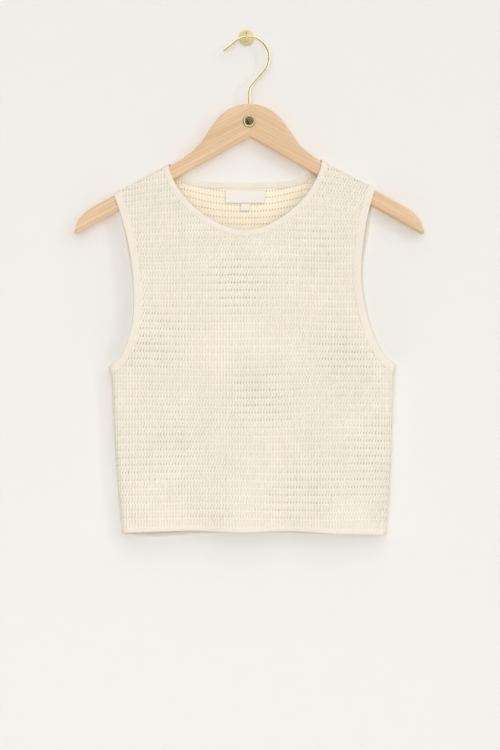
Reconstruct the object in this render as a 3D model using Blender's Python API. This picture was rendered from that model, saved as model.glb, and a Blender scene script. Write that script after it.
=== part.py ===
"""Openwork knit tank top on a wooden clothes hanger, hung from a small brass wall hook.

The origin is the centre of the wall plate's back face. X runs to the right as seen from the
front, Y runs back into the wall and Z runs up. Sizes are in millimetres until a mesh is made.

The cloth is worked out flat and then hung. A flat point is (across, up), and it keeps those
values wherever the cloth hangs straight. Near a shoulder the flat cloth wraps over the hanger,
and near a side seam it rolls round to the other panel, both without stretching.
"""

import math
from collections import namedtuple

import bmesh
import bpy
import numpy as np
from mathutils.geometry import delaunay_2d_cdt

MM = 0.001
FRONT, BACK = -1, 1

# Hanger and wall hook
HANGER_WIDTH = 445.4
WOOD_THICKNESS = 12.0
WOOD_CORNER = 4.0
HANGER_X = 3.2
HANGER_Y = -15.0
ARM_SLOPE = math.radians(27.95)
ARM_START = 98.1
ARM_START_Z = -162.7
UNDERSIDE_APEX_Z = -128.5
UNDERSIDE_SLOPE = 0.5624
TIP_LENGTH = 3.7
TIP_LIFT = 3.2
ARM_STRAIGHT_TO = 168.2
WIRE_DIAMETER = 3.6
HOOK_RADIUS = 26.2
HOOK_CENTRE_X = 2.4
HOOK_CENTRE_Z = -26.0
HOOK_FROM_DEG, HOOK_TO_DEG = -42.0, 128.0
HOOK_TIP = 21.0
WIRE_BEND_Z = -64.5
WIRE_IN_WOOD = 14.0
WIRE_CLEARANCE = 0.4
BADGE_RADIUS = 7.9
BADGE_Z = -107.8
PLATE_RADIUS = 10.4
PLATE_THICKNESS = 2.4
PRONG_DIAMETER = 3.0
PRONG_BEND = 3.4
PRONG_RISE = 3.2
PRONG_SLACK = 1.4
SCREW_RADIUS = 2.2
SCREW_Z = 6.6

# Cloth
WALL = 2.0
CLEARANCE = 0.8
SEAM_GAP = 0.3
NECK_BAND_WIDTH = 8.0
ARM_BAND_WIDTH = 10.0
HEM_BAND_HEIGHT = 12.0
HEM_EVENING = 0.085
BAND_CROWN = 0.25
SEAM_FORWARD = 6.0
SHOULDER_REACH = 40.0
WRAP_STEP = 3.0
SHOULDER_LENGTH = 86.0
ROLL_TOP_Z = -432.0
NECK_X = -1.7
NECK_HALF_WIDTH = 98.3
FRONT_NECK_Z = -246.4
BACK_NECK_Z = -185.2
FRONT_NECK_POWER = 1.7
BACK_NECK_POWER = 5.0
LABEL_WIDTH, LABEL_HEIGHT, LABEL_TOP_Z = 51.0, 16.0, -195.6
TAB_WIDTH, TAB_HEIGHT = 11.5, 9.6
LABEL_THICKNESS = 0.5

# Worked out from the sizes above
MID_OFF = CLEARANCE + WALL / 2
HALF_DEPTH = WOOD_THICKNESS / 2 + MID_OFF
CAP_RADIUS = WOOD_CORNER + MID_OFF
CAP_FLAT = HALF_DEPTH - CAP_RADIUS
CAP_END = CAP_FLAT + math.pi / 2 * CAP_RADIUS
CAP_EXCESS = CAP_END - CAP_RADIUS
FOLD_END = math.pi / 2 * HALF_DEPTH
FOLD_EXCESS = FOLD_END - HALF_DEPTH

# The hanger's top outline, symmetrical: distance out from the middle, and height
WoodRow = namedtuple("WoodRow", "out top")
WOOD_TOP = [
    WoodRow(0.0, -85.4),
    WoodRow(18.0, -88.3),
    WoodRow(28.6, -94.0),
    WoodRow(40.2, -104.2),
    WoodRow(51.0, -118.4),
    WoodRow(61.4, -133.8),
    WoodRow(76.1, -148.2),
    WoodRow(ARM_START, ARM_START_Z),
    WoodRow(133.0, ARM_START_Z - (133.0 - ARM_START) * math.tan(ARM_SLOPE)),
    WoodRow(ARM_STRAIGHT_TO, ARM_START_Z - (ARM_STRAIGHT_TO - ARM_START) * math.tan(ARM_SLOPE)),
    WoodRow(184.0, -208.6),
    WoodRow(199.0, -217.0),
    WoodRow(212.0, -227.0),
    WoodRow(219.3, -237.0),
    WoodRow(HANGER_WIDTH / 2, -246.5),
]

# The garment's two edges as the front shows them, up to the underarms at -421 and carried on past them
SideRow = namedtuple("SideRow", "z left right")
SIDES = [
    SideRow(-645.0, -156.0, 175.2),
    SideRow(-633.0, -157.6, 176.6),
    SideRow(-610.0, -160.6, 179.2),
    SideRow(-585.0, -162.8, 181.2),
    SideRow(-550.0, -165.4, 182.9),
    SideRow(-510.0, -168.4, 184.3),
    SideRow(-470.0, -170.4, 185.8),
    SideRow(-440.0, -171.6, 187.2),
    SideRow(-421.0, -175.4, 189.3),
    SideRow(-390.0, -190.0, 204.0),
    SideRow(-340.0, -215.0, 230.0),
]

# How far the hem hangs, front and back, at places across it
HemRow = namedtuple("HemRow", "x front back")
HEM = [
    HemRow(-161.0, -632.6, -632.6),
    HemRow(-148.0, -631.8, -634.6),
    HemRow(-122.0, -630.8, -637.0),
    HemRow(-72.0, -629.4, -634.0),
    HemRow(-8.0, -631.5, -632.0),
    HemRow(49.0, -629.9, -632.6),
    HemRow(113.0, -633.2, -634.2),
    HemRow(150.0, -634.4, -635.2),
    HemRow(180.0, -635.0, -635.0),
]

# How far each panel stands out beyond the hanger's own depth, at heights down the garment
BulgeRow = namedtuple("BulgeRow", "z front back wave")
BULGE = [
    BulgeRow(-640.0, 5.0, 0.8, 1.00),
    BulgeRow(-560.0, 5.6, 1.0, 0.70),
    BulgeRow(-480.0, 6.0, 1.4, 0.35),
    BulgeRow(-400.0, 5.6, 1.6, 0.12),
    BulgeRow(-320.0, 4.4, 1.4, 0.0),
    BulgeRow(-250.0, 2.4, 1.0, 0.0),
    BulgeRow(-190.0, 1.0, 0.6, 0.0),
]
Wave = namedtuple("Wave", "height length crest_x")
WAVES = {FRONT: Wave(4.4, 119.0, -8.4), BACK: Wave(1.9, 146.0, 40.0)}

# The armholes: where each leaves the shoulder, is narrowest and meets the side seam
Armhole = namedtuple("Armhole", "shoulder_x narrow_x narrow_z back_scoop underarm_z power")
ARMHOLES = {
    "left": Armhole(-171.4, -143.6, -338.0, 3.0, -420.6, 1.9),
    "right": Armhole(165.4, 146.0, -302.0, 7.0, -418.6, 1.75),
}
ARMHOLE_MIDDLE = {"left": (-196.0, -310.0), "right": (206.0, -300.0)}

# Colours are linear red, green and blue
Finish = namedtuple("Finish", "colour roughness metallic")
FINISHES = {
    "cream_knit": Finish((0.86, 0.80, 0.66), 0.9, 0.0),
    "cream_band": Finish((0.88, 0.82, 0.70), 0.85, 0.0),
    "white_label": Finish((0.90, 0.87, 0.82), 0.7, 0.0),
    "beech": Finish((0.80, 0.56, 0.33), 0.45, 0.0),
    "brass": Finish((0.72, 0.62, 0.36), 0.3, 1.0),
    "dark_brass": Finish((0.30, 0.26, 0.12), 0.4, 1.0),
}


def smooth_through(at, knots, values):
    """A smooth curve through (knots, values), read at the numbers in at, level past its ends."""
    knots = np.asarray(knots, float)
    values = np.asarray(values, float)
    order = np.argsort(knots)
    knots, values = knots[order], values[order]
    slopes = np.gradient(values, knots)
    at = np.clip(at, knots[0], knots[-1])
    low = np.clip(np.searchsorted(knots, at) - 1, 0, len(knots) - 2)
    span = knots[low + 1] - knots[low]
    t = (at - knots[low]) / span
    rise = 3 * t**2 - 2 * t**3
    start = (t**3 - 2 * t**2 + t) * span * slopes[low]
    end = (t**3 - t**2) * span * slopes[low + 1]
    return values[low] * (1 - rise) + values[low + 1] * rise + start + end


def column(table, name):
    """One named column of a table, as a list."""
    return [getattr(row, name) for row in table]


def from_table(table, key, name, at):
    """The named column of a table as a smooth curve of its key column."""
    return smooth_through(at, column(table, key), column(table, name))


def eased(t):
    """0 below 0, 1 above 1, and a smooth rise between them."""
    t = np.clip(t, 0.0, 1.0)
    return t * t * (3 - 2 * t)


def ridge(across):
    """Each shoulder's ridge in the flat cloth: a point on it, its outward run and its upward normal."""
    hand = np.where(across >= HANGER_X, 1.0, -1.0)
    run = np.stack([hand * math.cos(ARM_SLOPE), np.full_like(hand, -math.sin(ARM_SLOPE))], -1)
    normal = np.stack([hand * math.sin(ARM_SLOPE), np.full_like(hand, math.cos(ARM_SLOPE))], -1)
    wood = np.stack([HANGER_X + hand * ARM_START, np.full_like(hand, ARM_START_Z)], -1)
    return wood + (MID_OFF + CAP_EXCESS) * normal, run, normal


def below_ridge(flat):
    """Distance of flat points below the shoulder ridge, negative past it."""
    point, _, normal = ridge(flat[..., 0])
    return ((point - flat) * normal).sum(-1)


def ridge_height(across):
    """Height of the ridge in the flat cloth above a place across."""
    point, run, _ = ridge(np.asarray(across, float))
    return point[..., 1] + (across - point[..., 0]) * run[..., 1] / run[..., 0]


def seam_across(up, hand):
    """Where a side seam lies in the flat cloth, for hand -1 on the left and 1 on the right."""
    edge = from_table(SIDES, "z", "left" if hand < 0 else "right", up)
    return edge + hand * FOLD_EXCESS


def bulge(side, x, z):
    """How far a panel stands out beyond the hanger's depth, with the waves of its lower part."""
    left = from_table(SIDES, "z", "left", np.minimum(z, -440.0))
    right = from_table(SIDES, "z", "right", np.minimum(z, -440.0))
    share = np.clip((2 * x - left - right) / (right - left), -1, 1)
    depth = from_table(BULGE, "z", "front" if side == FRONT else "back", z)
    wave = WAVES[side]
    turns = (x - wave.crest_x) / wave.length
    ripple = wave.height * from_table(BULGE, "z", "wave", z) * np.cos(2 * math.pi * turns)
    return depth * (1 - share**2) + ripple * (1 - share**4)


def middle(side, flat):
    """Points in space of the middle of the cloth wall, for flat points of one panel."""
    point, run, normal = ridge(flat[..., 0])
    below = ((point - flat) * normal).sum(-1)
    along = ((flat - point) * run).sum(-1)
    size = np.abs(below)
    turn = np.clip((size - CAP_FLAT) / CAP_RADIUS, 0, math.pi / 2)
    depth = np.sign(below) * (np.minimum(size, CAP_FLAT) + CAP_RADIUS * np.sin(turn))
    sunk = CAP_RADIUS * (1 - np.cos(turn)) + np.maximum(size - CAP_END, 0)
    hung = point - CAP_EXCESS * normal + along[..., None] * run - sunk[..., None] * normal
    x, z = hung[..., 0].copy(), hung[..., 1]
    for hand in (-1, 1):
        seam = seam_across(flat[..., 1], hand)
        inside = hand * (seam - flat[..., 0])
        rolled = inside < FOLD_END
        angle = inside / HALF_DEPTH
        edge = seam - hand * FOLD_EXCESS
        x = np.where(rolled, edge - hand * HALF_DEPTH * (1 - np.cos(angle)), x)
        depth = np.where(rolled, depth * np.sin(angle), depth)
    depth = depth + bulge(side, x, z) * eased((below - CAP_END) / 60)
    return np.stack([x, HANGER_Y + side * depth, z], -1)


def hang(side, flat, out=0.0):
    """Flat points hung in space, moved out from the middle of the wall towards the outside."""
    flat = np.asarray(flat, float)
    step = 0.05
    across = middle(side, flat + (step, 0)) - middle(side, flat - (step, 0))
    up = middle(side, flat + (0, step)) - middle(side, flat - (0, step))
    normal = side * np.cross(up, across)
    normal /= np.linalg.norm(normal, axis=-1, keepdims=True)
    return middle(side, flat) + np.asarray(out)[..., None] * normal


def hand_of(point):
    """-1 for a flat point left of the hanger's middle, 1 for one right of it."""
    return 1 if point[0] > HANGER_X else -1


def near_shoulder(point):
    """Whether a flat point is close enough to the shoulder ridge to be reached over it."""
    return abs(float(below_ridge(point))) < SHOULDER_REACH


def seen_from(side, station):
    """A station's flat point in the given panel's own flat frame."""
    own, point = station
    if own == side:
        return point
    if near_shoulder(point):
        _, _, normal = ridge(point[0])
        return point + 2 * float(below_ridge(point)) * normal
    return np.array([2 * float(seam_across(point[1], hand_of(point))) - point[0], point[1]])


def neck_loop():
    """Stations round the neck's inner edge: down and up the front, then across the back."""
    steps_front, steps_back = 36, 22
    loop = []
    for k in range(steps_front + 1):
        angle = math.pi * k / steps_front
        share = -math.copysign(abs(math.cos(angle)) ** (2 / FRONT_NECK_POWER), math.cos(angle))
        sag = math.sin(angle) ** (2 / FRONT_NECK_POWER) if 0 < k < steps_front else 0.0
        top = float(ridge_height(NECK_X + math.copysign(NECK_HALF_WIDTH, share)))
        point = np.array([NECK_X + NECK_HALF_WIDTH * share, top + (FRONT_NECK_Z - top) * sag])
        loop.append((FRONT, point))
    for k in range(1, steps_back):
        share = math.cos(math.pi * k / steps_back)
        top = float(ridge_height(NECK_X + math.copysign(NECK_HALF_WIDTH, share)))
        rise = (top - BACK_NECK_Z) * abs(share) ** BACK_NECK_POWER
        loop.append((BACK, np.array([NECK_X + NECK_HALF_WIDTH * share, BACK_NECK_Z + rise])))
    return closer(loop)


def armhole_edge(hole, hand, scoop, heights_up, heights_down):
    """Flat points of one armhole edge, from the shoulder ridge down to the side seam."""
    narrow_x = hole.narrow_x + hand * scoop
    points = []
    shoulder_z = float(ridge_height(hole.shoulder_x))
    for t in np.linspace(0, 1, heights_up, endpoint=False):
        z = shoulder_z + (hole.narrow_z - shoulder_z) * t
        points.append((narrow_x + (hole.shoulder_x - narrow_x) * (1 - t) ** 2, z))
    seam = float(seam_across(hole.underarm_z, hand))
    for angle in np.linspace(0, math.pi / 2, heights_down):
        outward = 1 - max(math.cos(angle), 0.0) ** (2 / hole.power)
        drop = math.sin(angle) ** (2 / hole.power)
        x = narrow_x + (seam - narrow_x) * outward
        points.append((x, hole.narrow_z + (hole.underarm_z - hole.narrow_z) * drop))
    return [np.array(p) for p in points]


def armhole_loop(name):
    """Stations round an armhole's edge: down the front, round the side seam and up the back."""
    hole = ARMHOLES[name]
    hand = -1 if name == "left" else 1
    front = armhole_edge(hole, hand, 0.0, 12, 15)
    back = armhole_edge(hole, hand, hole.back_scoop, 12, 15)
    loop = [(FRONT, p) for p in front]
    return closer(loop + [(BACK, p) for p in reversed(back[1:-1])])


def hem_edge(side, steps=36):
    """Flat points along a panel's bottom edge, from the left side seam to the right one."""
    name = "front" if side == FRONT else "back"
    ends = [float(seam_across(getattr(HEM[at], name), hand)) for hand, at in ((-1, 0), (1, -1))]
    even = np.linspace(0, 1, steps + 1)
    shares = even - HEM_EVENING * np.sin(2 * math.pi * even)
    across = ends[0] + (ends[1] - ends[0]) * shares
    return [np.array([x, float(from_table(HEM, "x", name, x))]) for x in across]


def hem_loop():
    """Stations round the bottom edge: along the front from left to right, then back along the back."""
    front = [(FRONT, p) for p in hem_edge(FRONT)]
    return front + [(BACK, p) for p in reversed(hem_edge(BACK)[1:-1])]


def closer(loop):
    """The loop with more stations where the cloth wraps over a shoulder or rolls at a side."""
    result = []
    for i, (side, point) in enumerate(loop):
        result.append((side, point))
        after = seen_from(side, loop[(i + 1) % len(loop)])
        if wraps(point) or wraps(after):
            steps = math.ceil(float(np.linalg.norm(after - point)) / WRAP_STEP)
            result += [round_seam(side, point + (after - point) * k / steps) for k in range(1, steps)]
    return result


def inside_seam(point):
    """Distance of a flat point from the nearer side seam, negative past it."""
    hand = hand_of(point)
    return hand * (float(seam_across(point[1], hand)) - point[0])


def wraps(point):
    """Whether the cloth at a flat point wraps over the hanger or rolls at a side seam."""
    return abs(float(below_ridge(point))) < CAP_END or abs(inside_seam(point)) < FOLD_END


def round_seam(side, point):
    """A flat point as a station, given to the other panel when it is past the side seam."""
    inside = inside_seam(point)
    if inside >= 0:
        return (side, point)
    return (-side, point + (2 * hand_of(point) * inside, 0))


def inward_normals(loop, hole):
    """At each station, the flat direction away from the hole that the loop goes round."""
    normals = []
    for i, (side, point) in enumerate(loop):
        before = seen_from(side, loop[i - 1])
        after = seen_from(side, loop[(i + 1) % len(loop)])
        run = (after - before) / np.linalg.norm(after - before)
        normal = np.array([run[1], -run[0]])
        normal = normal if normal @ (point - hole) > 0 else -normal
        normals.append(turned_down_seam(point, normal))
    return normals


def turned_down_seam(point, normal):
    """A direction turned to run down the side seam, the more so the nearer the point is to it."""
    hand = hand_of(point)
    step = 5.0
    lean = float(seam_across(point[1] - step, hand) - seam_across(point[1] + step, hand))
    share = min(abs(inside_seam(point)) / FOLD_END, 1.0)
    mixed = share * normal + (1 - share) * np.array([lean, -2 * step]) / math.hypot(lean, 2 * step)
    return mixed / np.linalg.norm(mixed)


def moved_in(loop, normals, distance):
    """The loop moved into the cloth by a distance."""
    return [(side, point + distance * n) for (side, point), n in zip(loop, normals)]


def clipped(loop, side, least_below):
    """The part of a loop that lies on one panel, in its frame, cut off at the shoulder seam."""
    count = len(loop)
    points = [seen_from(side, station) for station in loop]
    below = [float(below_ridge(p)) for p in points]
    reached = [own == side or near_shoulder(point) for own, point in loop]
    inside = [r and d >= least_below for r, d in zip(reached, below)]
    start = next(i for i in range(count) if inside[i] and not inside[i - 1])
    order = [(start + i) % count for i in range(sum(inside))]
    chain = [points[i] for i in order]
    ends = []
    for last, step in ((order[0], -1), (order[-1], 1)):
        past = (last + step) % count
        share = (below[last] - least_below) / (below[last] - below[past])
        ends.append([points[last] + share * (points[past] - points[last])] if reached[past] else [])
    return ends[0] + chain + ends[1]


def inside_polygon(points, polygon):
    """True for each point that lies inside a closed polygon."""
    x, z = points[:, 0:1], points[:, 1:2]
    x1, z1 = polygon[:, 0], polygon[:, 1]
    x2, z2 = np.roll(x1, -1), np.roll(z1, -1)
    crosses = (z1 > z) != (z2 > z)
    rise = np.where(z2 == z1, 1.0, z2 - z1)
    return (crosses & (x < (x2 - x1) * (z - z1) / rise + x1)).sum(1) % 2 == 1


def distance_to_edge(points, polygon):
    """Distance of each point from a closed polygon's edge."""
    a, b = polygon, np.roll(polygon, -1, axis=0)
    run = b - a
    t = ((points[:, None] - a) * run).sum(-1) / (run**2).sum(-1)
    nearest = a + np.clip(t, 0, 1)[..., None] * run
    return np.linalg.norm(points[:, None] - nearest, axis=-1).min(1)


def inner_points(outline, spacing):
    """Flat points inside a panel: close rows where the cloth rolls or wraps, and an even lattice."""
    low, high = outline.min(0), outline.max(0)
    points = []
    for hand in (-1, 1):
        for z in np.arange(low[1] + 7, ROLL_TOP_Z, 14):
            seam = float(seam_across(z, hand))
            points += [(seam - hand * FOLD_END * share, z) for share in (0.29, 0.57, 0.86, 1.15)]
        point, run, normal = ridge(np.array([HANGER_X + hand * ARM_START]))
        for along in np.arange(0, SHOULDER_LENGTH, 9):
            base = point[0] + along * run[0]
            points += [tuple(base - CAP_END * share * normal[0]) for share in (-0.2, 0, 0.2, 0.4, 0.6, 0.8, 1.0)]
    for j, z in enumerate(np.arange(low[1] + spacing / 2, high[1], spacing * 0.87)):
        across = np.arange(low[0] + spacing / 2 * (j % 2), high[0], spacing)
        points += [(x, z) for x in across if not wraps(np.array((x, z)))]
    points = np.array(points)
    points = points[inside_polygon(points, outline)]
    points = points[distance_to_edge(points, outline) > 1.8]
    kept = []
    for p in points:
        if all(abs(p[0] - q[0]) + abs(p[1] - q[1]) > 2.2 for q in kept):
            kept.append(p)
    return np.array(kept)


def material(name):
    """The named finish as a Principled BSDF material, made once."""
    if name in bpy.data.materials:
        return bpy.data.materials[name]
    finish = FINISHES[name]
    made = bpy.data.materials.new(name)
    made.use_nodes = True
    shader = made.node_tree.nodes["Principled BSDF"]
    shader.inputs["Base Color"].default_value = (*finish.colour, 1.0)
    shader.inputs["Roughness"].default_value = finish.roughness
    shader.inputs["Metallic"].default_value = finish.metallic
    made.diffuse_color = (*finish.colour, 1.0)
    return made


def add_object(name, points, faces, finish, sharp_deg=50):
    """A closed mesh object from points in millimetres, its faces turned outwards."""
    bm = bmesh.new()
    verts = [bm.verts.new(np.asarray(p) * MM) for p in points]
    for face in faces:
        bm.faces.new([verts[i] for i in face])
    bmesh.ops.recalc_face_normals(bm, faces=bm.faces)
    mesh = bpy.data.meshes.new(name)
    bm.to_mesh(mesh)
    bm.free()
    mesh.shade_smooth()
    mesh.set_sharp_from_angle(angle=math.radians(sharp_deg))
    mesh.materials.append(material(finish))
    made = bpy.data.objects.new(name, mesh)
    bpy.context.scene.collection.objects.link(made)
    return made


def add_wall(name, side, flat, triangles, finish, half=WALL / 2, off=0.0):
    """A closed wall of cloth over flat triangles: an outer face, an inner face and a rim."""
    flat = np.asarray(flat, float)
    outer = hang(side, flat, off + half)
    inner = hang(side, flat, off - half)
    count = len(flat)
    used = {}
    faces = []
    for a, b, c in triangles:
        faces.append((a, b, c))
        faces.append((count + c, count + b, count + a))
        for pair in ((a, b), (b, c), (c, a)):
            used.setdefault(tuple(sorted(pair)), []).append(pair)
    for pairs in used.values():
        if len(pairs) == 1:
            a, b = pairs[0]
            faces.append((b, a, count + a, count + b))
    return add_object(name, np.concatenate([outer, inner]), faces, finish)


def add_panel(name, side, outline, spacing=17.5):
    """A panel of cloth cut to a flat outline."""
    outline = np.array(outline)
    points = np.concatenate([outline, inner_points(outline, spacing)])
    result = delaunay_2d_cdt([tuple(p) for p in points], [], [list(range(len(outline)))], 1, 1e-4)
    return add_wall(name, side, [tuple(v) for v in result[0]], result[2], "cream_knit")


def add_band(name, loop, normals, width):
    """A closed band of cloth along a loop, a little fuller along its middle."""
    steps = ((0.0, -0.1), (0.5, BAND_CROWN), (1.0, 0.0))
    rings = []
    for (side, point), normal in zip(loop, normals):
        ring = []
        for share, crown in steps:
            flat = (point + share * width * normal)[None]
            ring.append(hang(side, flat, np.array([WALL / 2 + crown]))[0])
        for share, crown in reversed(steps):
            flat = (point + share * width * normal)[None]
            ring.append(hang(side, flat, np.array([-WALL / 2 - crown]))[0])
        rings.append(ring)
    sides = len(rings[0])
    faces = []
    for i in range(len(rings)):
        after = (i + 1) % len(rings)
        for k in range(sides):
            right = (k + 1) % sides
            faces.append((i * sides + k, i * sides + right, after * sides + right, after * sides + k))
    return add_object(name, [p for ring in rings for p in ring], faces, "cream_band")


def add_patch(name, across, top, width, height, finish):
    """A small woven label lying on the inside of the back panel."""
    columns, rows = 6, 3
    xs = across + width * np.linspace(-0.5, 0.5, columns + 1)
    zs = top - height * np.linspace(0, 1, rows + 1)
    flat = [(x, z) for z in zs for x in xs]
    triangles = []
    for j in range(rows):
        for i in range(columns):
            a = j * (columns + 1) + i
            triangles.append((a, a + 1, a + columns + 2))
            triangles.append((a, a + columns + 2, a + columns + 1))
    off = -WALL / 2 - SEAM_GAP - LABEL_THICKNESS / 2
    return add_wall(name, BACK, flat, triangles, finish, LABEL_THICKNESS / 2, off)


def build_cloth():
    """The garment: two panels, a neck band, two armhole bands, a hem band and the labels."""
    neck_hole = np.array([NECK_X, -150.0])
    neck = neck_loop()
    neck_in = inward_normals(neck, neck_hole)
    add_band("neck_band", neck, neck_in, NECK_BAND_WIDTH)
    neck_cut = moved_in(neck, neck_in, NECK_BAND_WIDTH + SEAM_GAP)
    arm_cuts = {}
    for name in ("left", "right"):
        loop = armhole_loop(name)
        normals = inward_normals(loop, np.array(ARMHOLE_MIDDLE[name]))
        add_band(f"armhole_band_{name}", loop, normals, ARM_BAND_WIDTH)
        arm_cuts[name] = moved_in(loop, normals, ARM_BAND_WIDTH + SEAM_GAP)
    hem = hem_loop()
    upwards = [np.array([0.0, 1.0])] * len(hem)
    add_band("hem_band", hem, upwards, HEM_BAND_HEIGHT)
    for name, side, seam in (("front_panel", FRONT, SEAM_FORWARD), ("back_panel", BACK, -SEAM_FORWARD)):
        add_panel(name, side, panel_outline(side, seam + SEAM_GAP / 2, neck_cut, arm_cuts))
    add_patch("neck_label", NECK_X, LABEL_TOP_Z, LABEL_WIDTH, LABEL_HEIGHT, "white_label")
    tab_top = LABEL_TOP_Z - LABEL_HEIGHT - SEAM_GAP
    add_patch("size_tab", NECK_X, tab_top, TAB_WIDTH, TAB_HEIGHT, "white_label")


def seam_points(hand, low, high):
    """Flat points up a side seam, half a seam gap in from it."""
    points = []
    for z in np.linspace(low, high, 15)[1:-1]:
        seam = float(seam_across(z, hand))
        points.append(np.array([seam - hand * SEAM_GAP / 2, z]))
    return points


def arm_chain(side, seam_below, hand, cut):
    """An armhole's cut edge on one panel, from the side seam up to the shoulder seam."""
    chain = clipped(cut, side, seam_below)
    chain = chain if chain[0][1] < chain[-1][1] else chain[::-1]
    inside = [hand * (float(seam_across(p[1], hand)) - p[0]) for p in chain]
    foot = min(p[1] for _, p in cut)
    corner = np.array([float(seam_across(foot, hand)) - hand * SEAM_GAP / 2, foot])
    return [corner] + [p for p, far in zip(chain, inside) if far > SEAM_GAP / 2 + 0.8]


def panel_outline(side, seam_below, neck_cut, arm_cuts):
    """The flat outline of a panel: hem, right side, right armhole, shoulders, neck and left side."""
    bottom = [p + (0, HEM_BAND_HEIGHT + SEAM_GAP) for p in hem_edge(side)]
    for hand, at in ((-1, 0), (1, -1)):
        bottom[at][0] = float(seam_across(bottom[at][1], hand)) - hand * SEAM_GAP / 2
    right = arm_chain(side, seam_below, 1, arm_cuts["right"])
    left = arm_chain(side, seam_below, -1, arm_cuts["left"])
    neck = clipped(neck_cut, side, seam_below)
    neck = neck if neck[0][0] > neck[-1][0] else neck[::-1]
    outline = bottom + seam_points(1, bottom[-1][1], right[0][1]) + right
    outline += shoulder_points(right[-1], neck[0]) + neck + shoulder_points(neck[-1], left[-1])
    return outline + left[::-1] + seam_points(-1, bottom[0][1], left[0][1])[::-1]


def shoulder_points(start, end, count=7):
    """Flat points between two corners of a shoulder seam."""
    return [start + (end - start) * t for t in np.linspace(0, 1, count + 1)[1:-1]]


def rounded_section(half, corner_y, corner_z, low, high, arc_steps=3):
    """A ring of (y, z) points round a rounded bar between two heights."""
    corner_z = min(corner_z, (high - low) / 2 * 0.98)
    points = []
    for turn, y, z in (
        (0, half - corner_y, high - corner_z),
        (1, corner_y - half, high - corner_z),
        (2, corner_y - half, low + corner_z),
        (3, half - corner_y, low + corner_z),
    ):
        for k in range(arc_steps + 1):
            angle = math.pi / 2 * (turn + k / arc_steps)
            points.append((y + corner_y * math.cos(angle), z + corner_z * math.sin(angle)))
    return points


def build_hanger():
    """The wooden hanger, lofted from tip to tip, with a hole for the wire."""
    outs = [0, 9, 18, 24, 29, 34, 40, 46, 51, 56, 61.4, 68, 76, 86, ARM_START, 133, ARM_STRAIGHT_TO]
    outs += [176, 184, 192, 199, 206, 212, 216, 219.3, 221.4, HANGER_WIDTH / 2]
    stations = [-o for o in reversed(outs[1:])] + outs
    upright = WOOD_CORNER / math.cos(ARM_SLOPE)
    rings = []
    for out in stations:
        top = float(from_table(WOOD_TOP, "out", "top", abs(out)))
        if ARM_START <= abs(out) <= ARM_STRAIGHT_TO:
            top = ARM_START_Z - (abs(out) - ARM_START) * math.tan(ARM_SLOPE)
        low = UNDERSIDE_APEX_Z - UNDERSIDE_SLOPE * abs(out)
        low += TIP_LIFT * max(0.0, 1 - (HANGER_WIDTH / 2 - abs(out)) / TIP_LENGTH)
        section = rounded_section(WOOD_THICKNESS / 2, WOOD_CORNER, upright, low, top)
        rings.append([(HANGER_X + out, HANGER_Y + y, z) for y, z in section])
    sides = len(rings[0])
    faces = [tuple(range(sides)), tuple(range((len(rings) - 1) * sides, len(rings) * sides))]
    for i in range(len(rings) - 1):
        for k in range(sides):
            right = (k + 1) % sides
            faces.append((i * sides + k, i * sides + right, (i + 1) * sides + right, (i + 1) * sides + k))
    wood = add_object("hanger_wood", [p for ring in rings for p in ring], faces, "beech", 40)
    top = WOOD_TOP[0].top
    radius = WIRE_DIAMETER / 2 + WIRE_CLEARANCE
    foot = top - WIRE_IN_WOOD - WIRE_CLEARANCE
    profile = [(0, top + 8), (radius, top + 8), (radius, foot), (0, foot)]
    bore = add_turned("wire_bore", profile, (HANGER_X, HANGER_Y, 0), "beech", steps=12, upright=True)
    bore.hide_render = True
    bore.display_type = "WIRE"
    cut = wood.modifiers.new("wire hole", "BOOLEAN")
    cut.operation = "DIFFERENCE"
    cut.object = bore


def add_turned(name, profile, centre, finish, steps=24, upright=False):
    """A solid turned from (radius, distance) points, about Z if upright and else about Y."""
    points, rings = [], []
    for radius, distance in profile:
        ring = []
        for k in range(steps if radius else 1):
            angle = 2 * math.pi * k / steps
            a, b = radius * math.cos(angle), radius * math.sin(angle)
            spot = (a, b, distance) if upright else (a, distance, b)
            ring.append(len(points))
            points.append([c + s for c, s in zip(centre, spot)])
        rings.append(ring)
    faces = []
    for low, high in zip(rings, rings[1:]):
        for k in range(steps):
            after = (k + 1) % steps
            face = [low[k % len(low)], low[after % len(low)], high[after % len(high)], high[k % len(high)]]
            faces.append(tuple(dict.fromkeys(face)))
    return add_object(name, points, faces, finish, 35)


def add_rod(name, route, diameter, finish, resolution=2):
    """A round rod along a route of points."""
    curve = bpy.data.curves.new(name, "CURVE")
    curve.dimensions = "3D"
    curve.bevel_depth = diameter / 2 * MM
    curve.bevel_resolution = resolution
    curve.use_fill_caps = True
    spline = curve.splines.new("POLY")
    spline.points.add(len(route) - 1)
    for target, point in zip(spline.points, route):
        target.co = (*(c * MM for c in point), 1)
    curve.materials.append(material(finish))
    made = bpy.data.objects.new(name, curve)
    bpy.context.scene.collection.objects.link(made)
    return made


def wire_route():
    """The hanger's wire: up out of the wood, over to the hook's arc, round it and down its tip."""
    foot = WOOD_TOP[0].top - WIRE_IN_WOOD
    points = [(HANGER_X, foot), (HANGER_X, WIRE_BEND_Z - 4), (HANGER_X + 0.3, WIRE_BEND_Z - 1.6)]
    points.append((HANGER_X + 1.6, WIRE_BEND_Z + 1.2))
    for k in range(23):
        angle = math.radians(HOOK_FROM_DEG + (HOOK_TO_DEG - HOOK_FROM_DEG) * k / 22)
        x = HOOK_CENTRE_X + HOOK_RADIUS * math.cos(angle)
        points.append((x, HOOK_CENTRE_Z + HOOK_RADIUS * math.sin(angle)))
    heading = math.radians(HOOK_TO_DEG + 90)
    end = points[-1]
    points.append((end[0] + HOOK_TIP * math.cos(heading), end[1] + HOOK_TIP * math.sin(heading)))
    return [(x, HANGER_Y, z) for x, z in points]


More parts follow.
